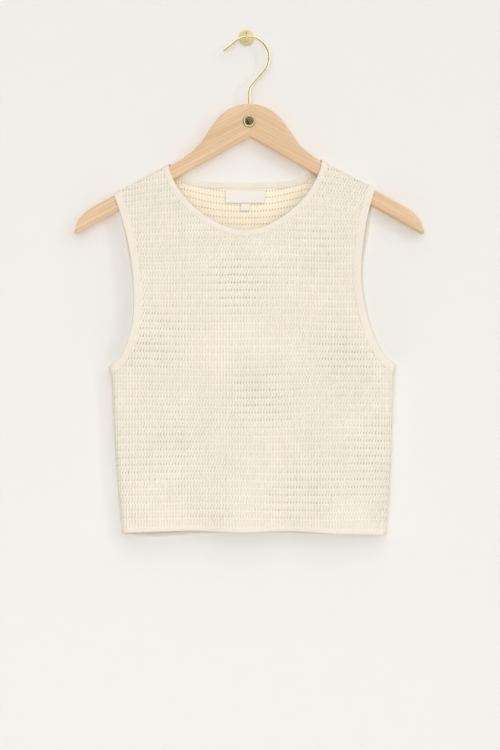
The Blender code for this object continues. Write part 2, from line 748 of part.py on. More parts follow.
def prong_route():
    """The wall hook's prong: out of the plate under the wire, then up in front of it."""
    z = HOOK_CENTRE_Z + HOOK_RADIUS - WIRE_DIAMETER / 2 - WIRE_CLEARANCE - PRONG_DIAMETER / 2
    front = HANGER_Y - WIRE_DIAMETER / 2 - PRONG_DIAMETER / 2 - PRONG_SLACK
    points = [(0, -PLATE_THICKNESS - SEAM_GAP, z), (0, (front + PRONG_BEND - PLATE_THICKNESS) / 2, z)]
    for k in range(6):
        angle = math.pi / 2 * k / 5
        y = front + PRONG_BEND * (1 - math.sin(angle))
        points.append((0, y, z + PRONG_BEND * (1 - math.cos(angle))))
    points.append((0, front, z + PRONG_BEND + PRONG_RISE))
    return points


def build_hardware():
    """The hanger's wire hook and round badge, and the wall hook's plate, prong and screw."""
    add_rod("hanger_hook", wire_route(), WIRE_DIAMETER, "brass")
    face = HANGER_Y - WOOD_THICKNESS / 2 - SEAM_GAP
    centre = (HANGER_X, 0, BADGE_Z)
    rim = [(0, face), (BADGE_RADIUS, face), (BADGE_RADIUS, face - 0.7), (BADGE_RADIUS - 0.9, face - 1.4)]
    rim += [(BADGE_RADIUS - 2.1, face - 1.2), (BADGE_RADIUS - 2.6, face - 0.6), (0, face - 1.0)]
    add_turned("hanger_badge", rim, centre, "dark_brass")
    plate = [(0, 0), (PLATE_RADIUS, 0), (PLATE_RADIUS, -1.0), (PLATE_RADIUS - 1.4, -PLATE_THICKNESS)]
    plate += [(0, -PLATE_THICKNESS)]
    add_turned("wall_plate", plate, (0, 0, 0), "brass", 28)
    add_rod("wall_prong", prong_route(), PRONG_DIAMETER, "brass")
    seat = -PLATE_THICKNESS - SEAM_GAP
    head = [(0, seat), (SCREW_RADIUS, seat), (SCREW_RADIUS - 0.2, seat - 0.6), (0, seat - 1.1)]
    add_turned("wall_screw", head, (0, 0, SCREW_Z), "dark_brass", 16)


def main():
    """Clears the scene and builds every piece."""
    for old in list(bpy.data.objects):
        bpy.data.objects.remove(old)
    build_cloth()
    build_hanger()
    build_hardware()


main()
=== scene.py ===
"""The openwork knit tank top on its beech hanger, dressed for the camera.

The cloth is worked out flat and then hung, in the same way and with the same sizes as the solids
that it stands for. Lengths are in millimetres until a mesh is made, X runs to the right, Y back
into the wall and Z up, from the centre of the wall plate's back face.
"""

import logging
import math
from dataclasses import dataclass, field
from enum import Enum, IntEnum
from functools import partial, reduce

import bpy
import numpy as np
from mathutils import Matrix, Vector


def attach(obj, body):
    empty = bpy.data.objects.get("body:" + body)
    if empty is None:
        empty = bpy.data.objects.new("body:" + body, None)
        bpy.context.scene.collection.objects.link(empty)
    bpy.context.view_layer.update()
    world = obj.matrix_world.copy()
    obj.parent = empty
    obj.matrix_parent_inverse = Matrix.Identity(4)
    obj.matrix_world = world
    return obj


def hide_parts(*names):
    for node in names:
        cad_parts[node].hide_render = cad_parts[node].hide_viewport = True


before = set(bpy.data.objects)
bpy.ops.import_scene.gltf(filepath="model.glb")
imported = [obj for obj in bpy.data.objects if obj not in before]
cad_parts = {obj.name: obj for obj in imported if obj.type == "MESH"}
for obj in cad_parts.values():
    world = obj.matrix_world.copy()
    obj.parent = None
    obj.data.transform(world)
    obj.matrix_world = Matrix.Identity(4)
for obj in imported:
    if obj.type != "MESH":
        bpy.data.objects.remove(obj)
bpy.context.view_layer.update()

MM = 0.001
STITCH_MAP = "stitch"
LOG = logging.getLogger("tank_top")


class Side(Enum):
    """The two panels, each with the way it faces along Y."""

    FRONT = -1
    BACK = 1

    @property
    def other(self) -> "Side":
        """The opposite panel."""
        return Side(-self.value)

    @property
    def column(self) -> int:
        """Where a table's row keeps its number, after the first one."""
        return 1 if self is Side.FRONT else 2


class Hand(Enum):
    """The wearer's two sides as the front shows them, each with its way along X."""

    LEFT = -1
    RIGHT = 1

    @property
    def word(self) -> str:
        """Its name in a piece's name."""
        return self.name.lower()

    @property
    def column(self) -> int:
        """Where a table's row keeps its number, after the first one."""
        return 1 if self is Hand.LEFT else 2


Triple = tuple[float, float, float]
Colour = Triple
Socket = bpy.types.NodeSocket
Station = tuple[Side, np.ndarray]


def smooth_through(at: np.ndarray, knots: np.ndarray, values: np.ndarray) -> np.ndarray:
    """Reads a smooth curve through some points, level past its ends.

    Args:
        at: The places to read it at.
        knots: Where its points lie.
        values: What it is worth there.

    Returns:
        Its values at those places.
    """
    knots = np.asarray(knots, float)
    values = np.asarray(values, float)
    order = np.argsort(knots)
    knots, values = knots[order], values[order]
    slopes = np.gradient(values, knots)
    at = np.clip(at, knots[0], knots[-1])
    low = np.clip(np.searchsorted(knots, at) - 1, 0, len(knots) - 2)
    span = knots[low + 1] - knots[low]
    t = (at - knots[low]) / span
    rise = 3 * t**2 - 2 * t**3
    start = (t**3 - 2 * t**2 + t) * span * slopes[low]
    end = (t**3 - t**2) * span * slopes[low + 1]
    return values[low] * (1 - rise) + values[low + 1] * rise + start + end


def eased(value: np.ndarray, start: float = 0.0, reach: float = 1.0) -> np.ndarray:
    """0 up to a start, 1 past a reach from there, and a smooth rise between them."""
    t = np.clip((value - start) / reach, 0.0, 1.0)
    return t * t * (3 - 2 * t)


@dataclass(frozen=True)
class Armhole:
    """Where one armhole leaves the shoulder, is narrowest and meets the side seam."""

    hand: Hand
    shoulder_x: float
    narrow_x: float
    narrow_z: float
    back_scoop: float
    low_scoop: float
    underarm_z: float
    power: float
    middle: tuple[float, float]


@dataclass(frozen=True)
class Wave:
    """The soft standing waves of one panel's lower part."""

    height: float
    length: float
    crest_x: float


@dataclass(frozen=True)
class TankForm:
    """The garment's form: its flat cut, and how that hangs over the hanger."""

    hanger_x: float = 3.2
    hanger_y: float = -15.0
    arm_slope: float = math.radians(27.95)
    arm_start: float = 98.1
    arm_start_z: float = -162.7
    wood_thickness: float = 12.0
    wood_corner: float = 4.0
    wall: float = 2.0
    clearance: float = 0.8
    neck_band_width: float = 8.0
    arm_band_width: float = 10.0
    hem_band_height: float = 12.0
    seam_forward: float = 6.0
    shoulder_reach: float = 40.0
    neck_x: float = -1.7
    neck_half_width: float = 98.3
    front_neck_z: float = -246.4
    back_neck_z: float = -185.2
    front_neck_power: float = 1.7
    back_neck_power: float = 5.0
    neck_middle: tuple[float, float] = (-1.7, -150.0)
    # Above full_below the fullness is centred as it is there. It grows over full_after
    full_below: float = -440.0
    full_after: float = 60.0
    # Height, then the left and the right edge as the front shows them
    edges: tuple[tuple[float, float, float], ...] = (
        (-645.0, -156.0, 175.2),
        (-633.0, -157.6, 176.6),
        (-610.0, -160.6, 179.2),
        (-585.0, -162.8, 181.2),
        (-550.0, -165.4, 182.9),
        (-510.0, -168.4, 184.3),
        (-470.0, -170.4, 185.8),
        (-440.0, -171.6, 187.2),
        (-421.0, -175.4, 189.3),
        (-390.0, -190.0, 204.0),
        (-340.0, -215.0, 230.0),
    )
    # Place across, then how far the front and the back hem hang there
    hem: tuple[tuple[float, float, float], ...] = (
        (-161.0, -632.6, -632.6),
        (-148.0, -631.8, -634.6),
        (-122.0, -630.8, -637.0),
        (-72.0, -629.4, -634.0),
        (-8.0, -631.5, -632.0),
        (49.0, -629.9, -632.6),
        (113.0, -633.2, -634.2),
        (150.0, -634.4, -635.2),
        (180.0, -635.0, -635.0),
    )
    # Height, then how far the front and the back stand out, and how strong the waves are
    fullness: tuple[tuple[float, float, float, float], ...] = (
        (-640.0, 5.0, 0.8, 1.00),
        (-560.0, 5.6, 1.0, 0.70),
        (-480.0, 6.0, 1.4, 0.35),
        (-400.0, 5.6, 1.6, 0.12),
        (-320.0, 4.4, 1.4, 0.0),
        (-250.0, 2.4, 1.0, 0.0),
        (-190.0, 1.0, 0.6, 0.0),
    )
    front_wave: Wave = Wave(4.4, 119.0, -8.4)
    back_wave: Wave = Wave(1.9, 146.0, 40.0)
    armholes: tuple[Armhole, Armhole] = (
        Armhole(Hand.LEFT, -171.4, -143.6, -338.0, 2.0, 1.0, -420.6, 1.9, (-196.0, -310.0)),
        Armhole(Hand.RIGHT, 165.4, 146.0, -302.0, 5.0, 2.2, -418.6, 1.75, (206.0, -300.0)),
    )

    @property
    def off_wood(self) -> float:
        """Distance from the wood to the middle of the cloth."""
        return self.clearance + self.wall / 2

    @property
    def half_depth(self) -> float:
        """Half the garment's depth where it only follows the hanger."""
        return self.wood_thickness / 2 + self.off_wood

    @property
    def cap_radius(self) -> float:
        """Radius of the cloth's bend over the hanger's rounded corner."""
        return self.wood_corner + self.off_wood

    @property
    def cap_flat(self) -> float:
        """Half the level stretch of cloth on top of the hanger."""
        return self.half_depth - self.cap_radius

    @property
    def cap_end(self) -> float:
        """Distance down from the ridge to where the cloth hangs straight."""
        return self.cap_flat + math.pi / 2 * self.cap_radius

    @property
    def fold_end(self) -> float:
        """Distance in from a side seam to where the cloth is flat again."""
        return math.pi / 2 * self.half_depth

    @property
    def fold_excess(self) -> float:
        """How much further out a side seam lies in the flat cloth than it hangs."""
        return self.fold_end - self.half_depth

    def ridge(self, across: np.ndarray) -> tuple[np.ndarray, np.ndarray, np.ndarray]:
        """Finds the shoulder ridge in the flat cloth.

        Args:
            across: Places across the flat cloth.

        Returns:
            For each place a point on its ridge, the outward run and the upward normal.
        """
        hand = np.where(np.asarray(across) >= self.hanger_x, 1.0, -1.0)
        cosine, sine = math.cos(self.arm_slope), math.sin(self.arm_slope)
        run = np.stack([hand * cosine, np.full_like(hand, -sine)], -1)
        normal = np.stack([hand * sine, np.full_like(hand, cosine)], -1)
        start = [self.hanger_x + hand * self.arm_start, np.full_like(hand, self.arm_start_z)]
        rise = self.off_wood + self.cap_end - self.cap_radius
        return np.stack(start, -1) + rise * normal, run, normal

    def below_ridge(self, flat: np.ndarray) -> np.ndarray:
        """Distance of flat points below the shoulder ridge, negative past it."""
        point, _, normal = self.ridge(flat[..., 0])
        return ((point - flat) * normal).sum(-1)

    def ridge_height(self, across: float) -> float:
        """Height of the ridge in the flat cloth above a place across."""
        point, run, _ = self.ridge(np.asarray(across, float))
        return float(point[1] + (across - point[0]) * run[1] / run[0])

    def edge(self, hand: Hand, height: np.ndarray) -> np.ndarray:
        """The garment's outline on one side, at heights."""
        table = np.array(self.edges)
        return smooth_through(height, table[:, 0], table[:, hand.column])

    def seam_across(self, up: np.ndarray, hand: Hand) -> np.ndarray:
        """Where a side seam lies in the flat cloth, at heights."""
        return self.edge(hand, up) + hand.value * self.fold_excess

    def stand_out(self, side: Side, x: np.ndarray, z: np.ndarray) -> np.ndarray:
        """Works out how far a panel stands out beyond the hanger's depth.

        Args:
            side: The panel.
            x: Places across.
            z: Heights.

        Returns:
            The distance at each point, with the waves of the lower part.
        """
        low = np.minimum(z, self.full_below)
        left, right = self.edge(Hand.LEFT, low), self.edge(Hand.RIGHT, low)
        share = np.clip((2 * x - left - right) / (right - left), -1, 1)
        table = np.array(self.fullness)
        depth = smooth_through(z, table[:, 0], table[:, side.column])
        wave = self.front_wave if side is Side.FRONT else self.back_wave
        strength = wave.height * smooth_through(z, table[:, 0], table[:, 3])
        ripple = strength * np.cos(2 * math.pi * (x - wave.crest_x) / wave.length)
        return depth * (1 - share**2) + ripple * (1 - share**4)

    def middle(self, side: Side, flat: np.ndarray) -> np.ndarray:
        """Hangs flat points of one panel.

        Args:
            side: The panel.
            flat: Its flat points, (across, up).

        Returns:
            Their places in space, in the middle of the cloth.
        """
        point, run, normal = self.ridge(flat[..., 0])
        below = ((point - flat) * normal).sum(-1)
        along = ((flat - point) * run).sum(-1)
        size = np.abs(below)
        radius = self.cap_radius
        turn = np.clip((size - self.cap_flat) / radius, 0, math.pi / 2)
        depth = np.sign(below) * (np.minimum(size, self.cap_flat) + radius * np.sin(turn))
        sunk = radius * (1 - np.cos(turn)) + np.maximum(size - self.cap_end, 0)
        excess = self.cap_end - radius
        hung = point + along[..., None] * run - (excess + sunk)[..., None] * normal
        x, z = hung[..., 0].copy(), hung[..., 1]
        for hand in Hand:
            seam = self.seam_across(flat[..., 1], hand)
            inside = hand.value * (seam - flat[..., 0])
            rolled = inside < self.fold_end
            angle = inside / self.half_depth
            edge = seam - hand.value * self.fold_excess
            turned = edge - hand.value * self.half_depth * (1 - np.cos(angle))
            x = np.where(rolled, turned, x)
            depth = np.where(rolled, depth * np.sin(angle), depth)
        freed = eased(below, self.cap_end, self.full_after)
        depth = depth + self.stand_out(side, x, z) * freed
        return np.stack([x, self.hanger_y + side.value * depth, z], -1)

    def hang(self, side: Side, flat: np.ndarray, out: np.ndarray | float = 0.0) -> np.ndarray:
        """Hangs flat points of one panel, off the middle of the cloth.

        Args:
            side: The panel.
            flat: Its flat points, (across, up).
            out: How far outwards each lies from the middle of the cloth.

        Returns:
            Their places in space.
        """
        flat = np.asarray(flat, float)
        step = 0.05
        across = self.middle(side, flat + (step, 0)) - self.middle(side, flat - (step, 0))
        up = self.middle(side, flat + (0, step)) - self.middle(side, flat - (0, step))
        normal = side.value * np.cross(up, across)
        normal /= np.linalg.norm(normal, axis=-1, keepdims=True)
        return self.middle(side, flat) + np.asarray(out)[..., None] * normal

    def armhole_of(self, hand: Hand) -> Armhole:
        """The armhole on a side."""
        return self.armholes[hand.column - 1]

    def hand_of(self, point: np.ndarray) -> Hand:
        """The side of the hanger's middle that a flat point lies on."""
        return Hand.RIGHT if point[0] > self.hanger_x else Hand.LEFT

    def inside_seam(self, point: np.ndarray) -> float:
        """Distance of a flat point from the nearer side seam, negative past it."""
        hand = self.hand_of(point)
        return hand.value * (float(self.seam_across(point[1], hand)) - point[0])

    def near_shoulder(self, point: np.ndarray) -> bool:
        """Whether a flat point is close enough to the ridge to be reached over it."""
        return abs(float(self.below_ridge(point))) < self.shoulder_reach

    def seen_from(self, side: Side, station: Station) -> np.ndarray:
        """Lays a station out beside a panel.

        Args:
            side: The panel.
            station: The station, on either panel.

        Returns:
            Its flat point in that panel's own flat frame.
        """
        own, point = station
        if own is side:
            return point
        if self.near_shoulder(point):
            _, _, normal = self.ridge(point[0])
            return point + 2 * float(self.below_ridge(point)) * normal
        seam = float(self.seam_across(point[1], self.hand_of(point)))
        return np.array([2 * seam - point[0], point[1]])


@dataclass(frozen=True)
class EdgeLoop:
    """One closed edge of the cloth as stations, each with its flat way into the cloth."""

    stations: list[Station]
    inward: list[np.ndarray]

    def moved_in(self, distance: float) -> list[Station]:
        """The stations moved into the cloth by a distance."""
        pairs = zip(self.stations, self.inward)
        return [(side, point + distance * way) for (side, point), way in pairs]


@dataclass(frozen=True)
class EdgeMaker:
    """Draws the garment's edges in the flat cloth."""

    form: TankForm
    step: float = 2.0
    front_steps: int = 84
    back_steps: int = 60
    # Stations left out at each end of the back, which would crowd those on the ridge
    back_skipped: int = 2
    strap_steps: int = 40
    curve_steps: int = 44
    # The share of the lower scoop that shows halfway down a strap
    low_share: float = 0.75
    # How far the hem's columns keep from a seam, and how far up and down a seam's way is read
    column_clear: float = 0.5
    seam_reach: float = 5.0

    def neck(self) -> EdgeLoop:
        """Draws the neck's edge.

        Returns:
            The edge: down and up the front, then across the back.
        """
        form = self.form
        loop: list[Station] = []
        for k in range(self.front_steps + 1):
            angle = math.pi * k / self.front_steps
            cosine = math.cos(angle)
            share = -math.copysign(abs(cosine) ** (2 / form.front_neck_power), cosine)
            inner = 0 < k < self.front_steps
            sag = math.sin(angle) ** (2 / form.front_neck_power) if inner else 0.0
            top = self._neck_top(share)
            x = form.neck_x + form.neck_half_width * share
            loop.append((Side.FRONT, np.array([x, top + (form.front_neck_z - top) * sag])))
        for k in range(self.back_skipped + 1, self.back_steps - self.back_skipped):
            share = math.cos(math.pi * k / self.back_steps)
            rise = (self._neck_top(share) - form.back_neck_z) * abs(share) ** form.back_neck_power
            x = form.neck_x + form.neck_half_width * share
            loop.append((Side.BACK, np.array([x, form.back_neck_z + rise])))
        return self._evened(self._with_inward(self._closer(loop), np.array(form.neck_middle)))

    def _evened(self, loop: EdgeLoop, passes: int = 5) -> EdgeLoop:
        """Evens a loop's ways into the cloth, so that its band lies smooth over the ridge.

        Args:
            loop: The loop.
            passes: How many times each way is mixed with its neighbours.

        Returns:
            The same stations with the new ways.
        """
        form, ways = self.form, list(loop.inward)
        for _ in range(passes):
            evened = []
            for i, (side, _) in enumerate(loop.stations):
                total = 2.0 * ways[i]
                for j in (i - 1, (i + 1) % len(ways)):
                    other, point = loop.stations[j]
                    tip = form.seen_from(side, (other, point + ways[j]))
                    total = total + tip - form.seen_from(side, (other, point))
                evened.append(total / np.linalg.norm(total))
            ways = evened
        return EdgeLoop(loop.stations, ways)

    def _neck_top(self, share: float) -> float:
        """Height of the ridge above the neck's corner on the side that share leans to."""
        form = self.form
        return form.ridge_height(form.neck_x + math.copysign(form.neck_half_width, share))

    def armhole(self, hole: Armhole) -> EdgeLoop:
        """Draws an armhole's edge.

        Args:
            hole: The armhole.

        Returns:
            The edge: down the front, round the side seam and up the back.
        """
        loop: list[Station] = [(Side.FRONT, p) for p in self._armhole_half(hole, 0.0, 0.0)]
        back = self._armhole_half(hole, hole.back_scoop, hole.low_scoop)
        loop += [(Side.BACK, p) for p in reversed(back[1:-1])]
        return self._with_inward(self._closer(loop), np.array(hole.middle))

    def _armhole_half(self, hole: Armhole, scoop: float, low_scoop: float) -> list[np.ndarray]:
        """Draws one panel's edge of an armhole.

        Args:
            hole: The armhole.
            scoop: How much wider this panel stays halfway down the strap.
            low_scoop: How much wider it is where the strap is narrowest.

        Returns:
            Its flat points, from the shoulder ridge down to the side seam.
        """
        form, hand = self.form, hole.hand.value
        narrow_x = hole.narrow_x + hand * low_scoop
        top = form.ridge_height(hole.shoulder_x)
        points = []
        for t in np.linspace(0, 1, self.strap_steps, endpoint=False):
            x = narrow_x + (hole.shoulder_x - narrow_x) * (1 - t) ** 2
            x += hand * (scoop - self.low_share * low_scoop) * math.sin(math.pi * t) ** 2
            points.append(np.array([x, top + (hole.narrow_z - top) * t]))
        seam = float(form.seam_across(hole.underarm_z, hole.hand))
        for angle in np.linspace(0, math.pi / 2, self.curve_steps):
            outward = 1 - max(math.cos(angle), 0.0) ** (2 / hole.power)
            drop = math.sin(angle) ** (2 / hole.power)
            x = narrow_x + (seam - narrow_x) * outward
            z = hole.narrow_z + (hole.underarm_z - hole.narrow_z) * drop
            points.append(np.array([x, z]))
        return points

    def hem(self, columns: np.ndarray) -> EdgeLoop:
        """The hem's edge, with a station at each of the knit's columns.

        Args:
            columns: Places across where the hem's relief has its lines.

        Returns:
            The edge: along the front from left to right, then back along the back.
        """
        loop: list[Station] = [(Side.FRONT, p) for p in self.hem_points(Side.FRONT, columns)]
        loop += [(Side.BACK, p) for p in self.hem_points(Side.BACK, columns)[-2:0:-1]]
        return EdgeLoop(loop, [np.array([0.0, 1.0])] * len(loop))

    def hem_points(self, side: Side, columns: np.ndarray) -> list[np.ndarray]:
        """Draws a panel's bottom edge.

        Args:
            side: The panel.
            columns: Places across where it has a point.

        Returns:
            Its flat points, from the left side seam to the right one.
        """
        table = np.array(self.form.hem)
        heights = table[:, side.column]
        left = float(self.form.seam_across(heights[0], Hand.LEFT))
        right = float(self.form.seam_across(heights[-1], Hand.RIGHT))
        clear = self.column_clear
        inner = columns[(columns > left + clear) & (columns < right - clear)]
        across = np.concatenate([[left], inner, [right]])
        ups = smooth_through(across, table[:, 0], heights)
        return [np.array(p) for p in zip(across, ups)]

    def _closer(self, loop: list[Station]) -> list[Station]:
        """Fills a loop in, so that no station is further than the step from the next.

        Args:
            loop: The stations.

        Returns:
            The stations with more between them, each on the panel that it falls on.
        """
        form = self.form
        result: list[Station] = []
        for i, (side, point) in enumerate(loop):
            result.append((side, point))
            after = form.seen_from(side, loop[(i + 1) % len(loop)])
            steps = math.ceil(float(np.linalg.norm(after - point)) / self.step)
            for k in range(1, steps):
                between = point + (after - point) * k / steps
                inside = form.inside_seam(between)
                if inside >= 0:
                    result.append((side, between))
                else:
                    turn = 2 * form.hand_of(between).value * inside
                    result.append((side.other, between + (turn, 0)))
        return result

    def _with_inward(self, loop: list[Station], hole: np.ndarray) -> EdgeLoop:
        """Finds a loop's ways into the cloth, which turn down the seam where they meet it.

        Args:
            loop: The stations.
            hole: A flat point in the middle of the opening.

        Returns:
            The loop with its ways.
        """
        form, reach = self.form, self.seam_reach
        ways = []
        for i, (side, point) in enumerate(loop):
            before = form.seen_from(side, loop[i - 1])
            after = form.seen_from(side, loop[(i + 1) % len(loop)])
            run = (after - before) / np.linalg.norm(after - before)
            way = np.array([run[1], -run[0]])
            way = way if way @ (point - hole) > 0 else -way
            hand = form.hand_of(point)
            above = form.seam_across(point[1] + reach, hand)
            under = form.seam_across(point[1] - reach, hand)
            seam_way = np.array([float(under - above), -2 * reach])
            share = min(abs(form.inside_seam(point)) / form.fold_end, 1.0)
            mixed = share * way + (1 - share) * seam_way / np.linalg.norm(seam_way)
            ways.append(mixed / np.linalg.norm(mixed))
        return EdgeLoop(loop, ways)


@dataclass(frozen=True)
class PanelCut:
    """Works out the flat outline that a knit panel is trimmed to."""

    form: TankForm
    edges: EdgeMaker
    neck: EdgeLoop
    arms: dict[Hand, EdgeLoop]
    tuck: float = 4.0
    # Where the bottom edge has points, from, to and step, and how many the seams have
    hem_columns: tuple[float, float, float] = (-220.0, 240.0, 6.0)
    side_steps: int = 60
    shoulder_steps: int = 30
    # How far an armhole's points keep from its corner on the side seam
    corner_clear: float = 0.8

    def outline(self, side: Side) -> np.ndarray:
        """A panel's flat outline, tucked in under its bands and exact at its seams.

        Args:
            side: The panel.

        Returns:
            Its corners in order: hem, right side, right armhole, shoulders, neck and left side.
        """
        form = self.form
        seam = form.seam_forward * (1 if side is Side.FRONT else -1)
        columns = np.arange(*self.hem_columns)
        rise = form.hem_band_height - self.tuck
        bottom = [p + (0, rise) for p in self.edges.hem_points(side, columns)]
        for hand, at in ((Hand.LEFT, 0), (Hand.RIGHT, -1)):
            bottom[at][0] = float(form.seam_across(bottom[at][1], hand))
        left, right = (self._arm_chain(side, seam, hand) for hand in Hand)
        cut = self.neck.moved_in(form.neck_band_width - self.tuck)
        neck = self._clipped(cut, side, seam)
        neck = neck if neck[0][0] > neck[-1][0] else neck[::-1]
        points = bottom + self._up_seam(Hand.RIGHT, bottom[-1][1], right[0][1]) + right
        points += self._between(right[-1], neck[0]) + neck + self._between(neck[-1], left[-1])
        points += left[::-1] + self._up_seam(Hand.LEFT, bottom[0][1], left[0][1])[::-1]
        return np.array(points)

    def _up_seam(self, hand: Hand, low: float, high: float) -> list[np.ndarray]:
        """Flat points up a side seam between two heights."""
        heights = np.linspace(low, high, self.side_steps)[1:-1]
        return [np.array([float(self.form.seam_across(z, hand)), z]) for z in heights]

    def _between(self, start: np.ndarray, end: np.ndarray) -> list[np.ndarray]:
        """Flat points between two corners of a shoulder seam."""
        shares = np.linspace(0, 1, self.shoulder_steps)[1:-1]
        return [start + (end - start) * t for t in shares]

    def _arm_chain(self, side: Side, seam: float, hand: Hand) -> list[np.ndarray]:
        """Draws an armhole's cut edge on one panel.

        Args:
            side: The panel.
            seam: How far below the ridge the panel ends.
            hand: The armhole's side.

        Returns:
            Its flat points, from the side seam up to the shoulder seam.
        """
        form = self.form
        cut = self.arms[hand].moved_in(form.arm_band_width - self.tuck)
        chain = self._clipped(cut, side, seam)
        chain = chain if chain[0][1] < chain[-1][1] else chain[::-1]
        inside = [hand.value * (float(form.seam_across(p[1], hand)) - p[0]) for p in chain]
        foot = min(point[1] for _, point in cut)
        corner = np.array([float(form.seam_across(foot, hand)), foot])
        return [corner] + [p for p, far in zip(chain, inside) if far > self.corner_clear]

    def _clipped(self, loop: list[Station], side: Side, least: float) -> list[np.ndarray]:
        """Takes the part of a loop that lies on one panel.

        Args:
            loop: The stations.
            side: The panel.
            least: How far below the ridge the panel ends at the shoulder seam.

        Returns:
            The flat points in order, cut off at the shoulder seam.
        """
        form, count = self.form, len(loop)
        points = [form.seen_from(side, station) for station in loop]
        below = [float(form.below_ridge(p)) for p in points]
        reached = [own is side or form.near_shoulder(point) for own, point in loop]
        kept = [r and d >= least for r, d in zip(reached, below)]
        start = next(i for i in range(count) if kept[i] and not kept[i - 1])
        order = [(start + i) % count for i in range(sum(kept))]
        chain = [points[i] for i in order]
        for last, step in ((order[0], -1), (order[-1], 1)):
            past = (last + step) % count
            if reached[past]:
                share = (below[last] - least) / (below[last] - below[past])
                end = points[last] + share * (points[past] - points[last])
                chain = [end] + chain if step < 0 else chain + [end]
        return chain


def in_parts(points: np.ndarray, size: int) -> list[np.ndarray]:
    """The points in parts of about a size, which keeps the memory in use small."""
    return np.array_split(points, max(1, len(points) // size))


def inside_outline(points: np.ndarray, outline: np.ndarray) -> np.ndarray:
    """Tells which flat points lie inside a closed outline.

    Args:
        points: The points.
        outline: The outline's corners in order.

    Returns:
        True for each point inside.
    """
    x1, z1 = outline[:, 0], outline[:, 1]
    x2, z2 = np.roll(x1, -1), np.roll(z1, -1)
    rise = np.where(z2 == z1, 1.0, z2 - z1)
    found = []
    for part in in_parts(points, 8000):
        x, z = part[:, 0:1], part[:, 1:2]
        crosses = (z1 > z) != (z2 > z)
        found.append((crosses & (x < (x2 - x1) * (z - z1) / rise + x1)).sum(1) % 2 == 1)
    return np.concatenate(found)


def nearest_on_outline(points: np.ndarray, outline: np.ndarray) -> np.ndarray:
    """Finds the nearest point on a closed outline to each flat point.

    Args:
        points: The points.
        outline: The outline's corners in order.

    Returns:
        The nearest points.
    """
    run = np.roll(outline, -1, axis=0) - outline
    length = np.maximum((run**2).sum(-1), 1e-12)
    found = []
    for part in in_parts(points, 2000):
        t = np.clip(((part[:, None] - outline) * run).sum(-1) / length, 0, 1)
        near = outline + t[..., None] * run
        best = ((part[:, None] - near) ** 2).sum(-1).argmin(1)
        found.append(near[np.arange(len(part)), best])
    return np.concatenate(found)


def placed(name: str, data: bpy.types.ID) -> bpy.types.Object:
    """Places a new object in the scene.

    Args:
        name: Its name.
        data: Its data.

    Returns:
        The object.
    """
    made = bpy.data.objects.new(name, data)
    bpy.context.scene.collection.objects.link(made)
    return made


def lengths_along(points: np.ndarray) -> np.ndarray:
    """The distance from the first point along to each one."""
    return np.concatenate([[0], np.cumsum(np.linalg.norm(np.diff(points, axis=0), axis=1))])


@dataclass
class MeshData:
    """Points in millimetres, faces, and one (across, along) stitch coordinate a face corner."""

    points: np.ndarray
    faces: list[tuple[int, ...]]
    corners: np.ndarray | None = None

    def facing_out(self) -> "MeshData":
        """Turns the faces of a closed skin outwards.

        Returns:
            The skin, or a copy with its faces and stitch coordinates the other way round.
        """
        spokes = np.asarray(self.points, float) - np.mean(self.points, axis=0)
        filled = 0.0
        for face in self.faces:
            first, *rest = (spokes[k] for k in face)
            filled += sum(float(np.dot(first, np.cross(a, b))) for a, b in zip(rest, rest[1:]))
        if filled > 0:
            return self
        starts = np.concatenate([[0], np.cumsum([len(face) for face in self.faces])])
        corners = None
        if self.corners is not None:
            spans = zip(starts, starts[1:])
            corners = np.concatenate([self.corners[a:b][::-1] for a, b in spans])
        return MeshData(self.points, [face[::-1] for face in self.faces], corners)

    def to_object(self, name: str, material: bpy.types.Material) -> bpy.types.Object:
        """Makes the mesh object, smooth shaded.

        Args:
            name: The piece's name.
            material: Its finish.

        Returns:
            The object, linked to the scene.
        """
        mesh = bpy.data.meshes.new(name)
        mesh.from_pydata((np.asarray(self.points) * MM).tolist(), [], self.faces)
        if self.corners is not None:
            layer = mesh.uv_layers.new(name=STITCH_MAP)
            layer.data.foreach_set("uv", np.asarray(self.corners, np.float32).ravel())
        mesh.materials.append(material)
        mesh.shade_smooth()
        mesh.update()
        return placed(name, mesh)


def swept(rings: np.ndarray, along: np.ndarray, around: np.ndarray, closed: bool) -> MeshData:
    """Joins rings of points into one skin.

    Args:
        rings: Points by ring and by place round it.
        along: Length along at each ring, and once more past the last if closed.
        around: Length round at each place, and once more past the last.
        closed: Whether the last ring joins the first. Otherwise both ends are capped.

    Returns:
        The skin, with its lengths as stitch coordinates.
    """
    count, sides = rings.shape[:2]
    i = np.arange(count if closed else count - 1)[:, None]
    k = np.arange(sides)[None, :]
    after, right = (i + 1) % count, (k + 1) % sides
    row, next_row = i * sides, after * sides
    quads = np.stack([row + k, row + right, next_row + right, next_row + k], -1)
    here, there = along[i] + 0 * k, along[i + 1] + 0 * k
    low, high = around[k] + 0 * i, around[k + 1] + 0 * i
    corners = np.stack([low, here, high, here, high, there, low, there], -1).reshape(-1, 2)
    faces = [tuple(q) for q in quads.reshape(-1, 4).tolist()]
    if not closed:
        ends = range(sides - 1, -1, -1), range((count - 1) * sides, count * sides)
        faces += [tuple(end) for end in ends]
        corners = np.concatenate([corners, np.zeros((2 * sides, 2))])
    return MeshData(rings.reshape(-1, 3), faces, corners)


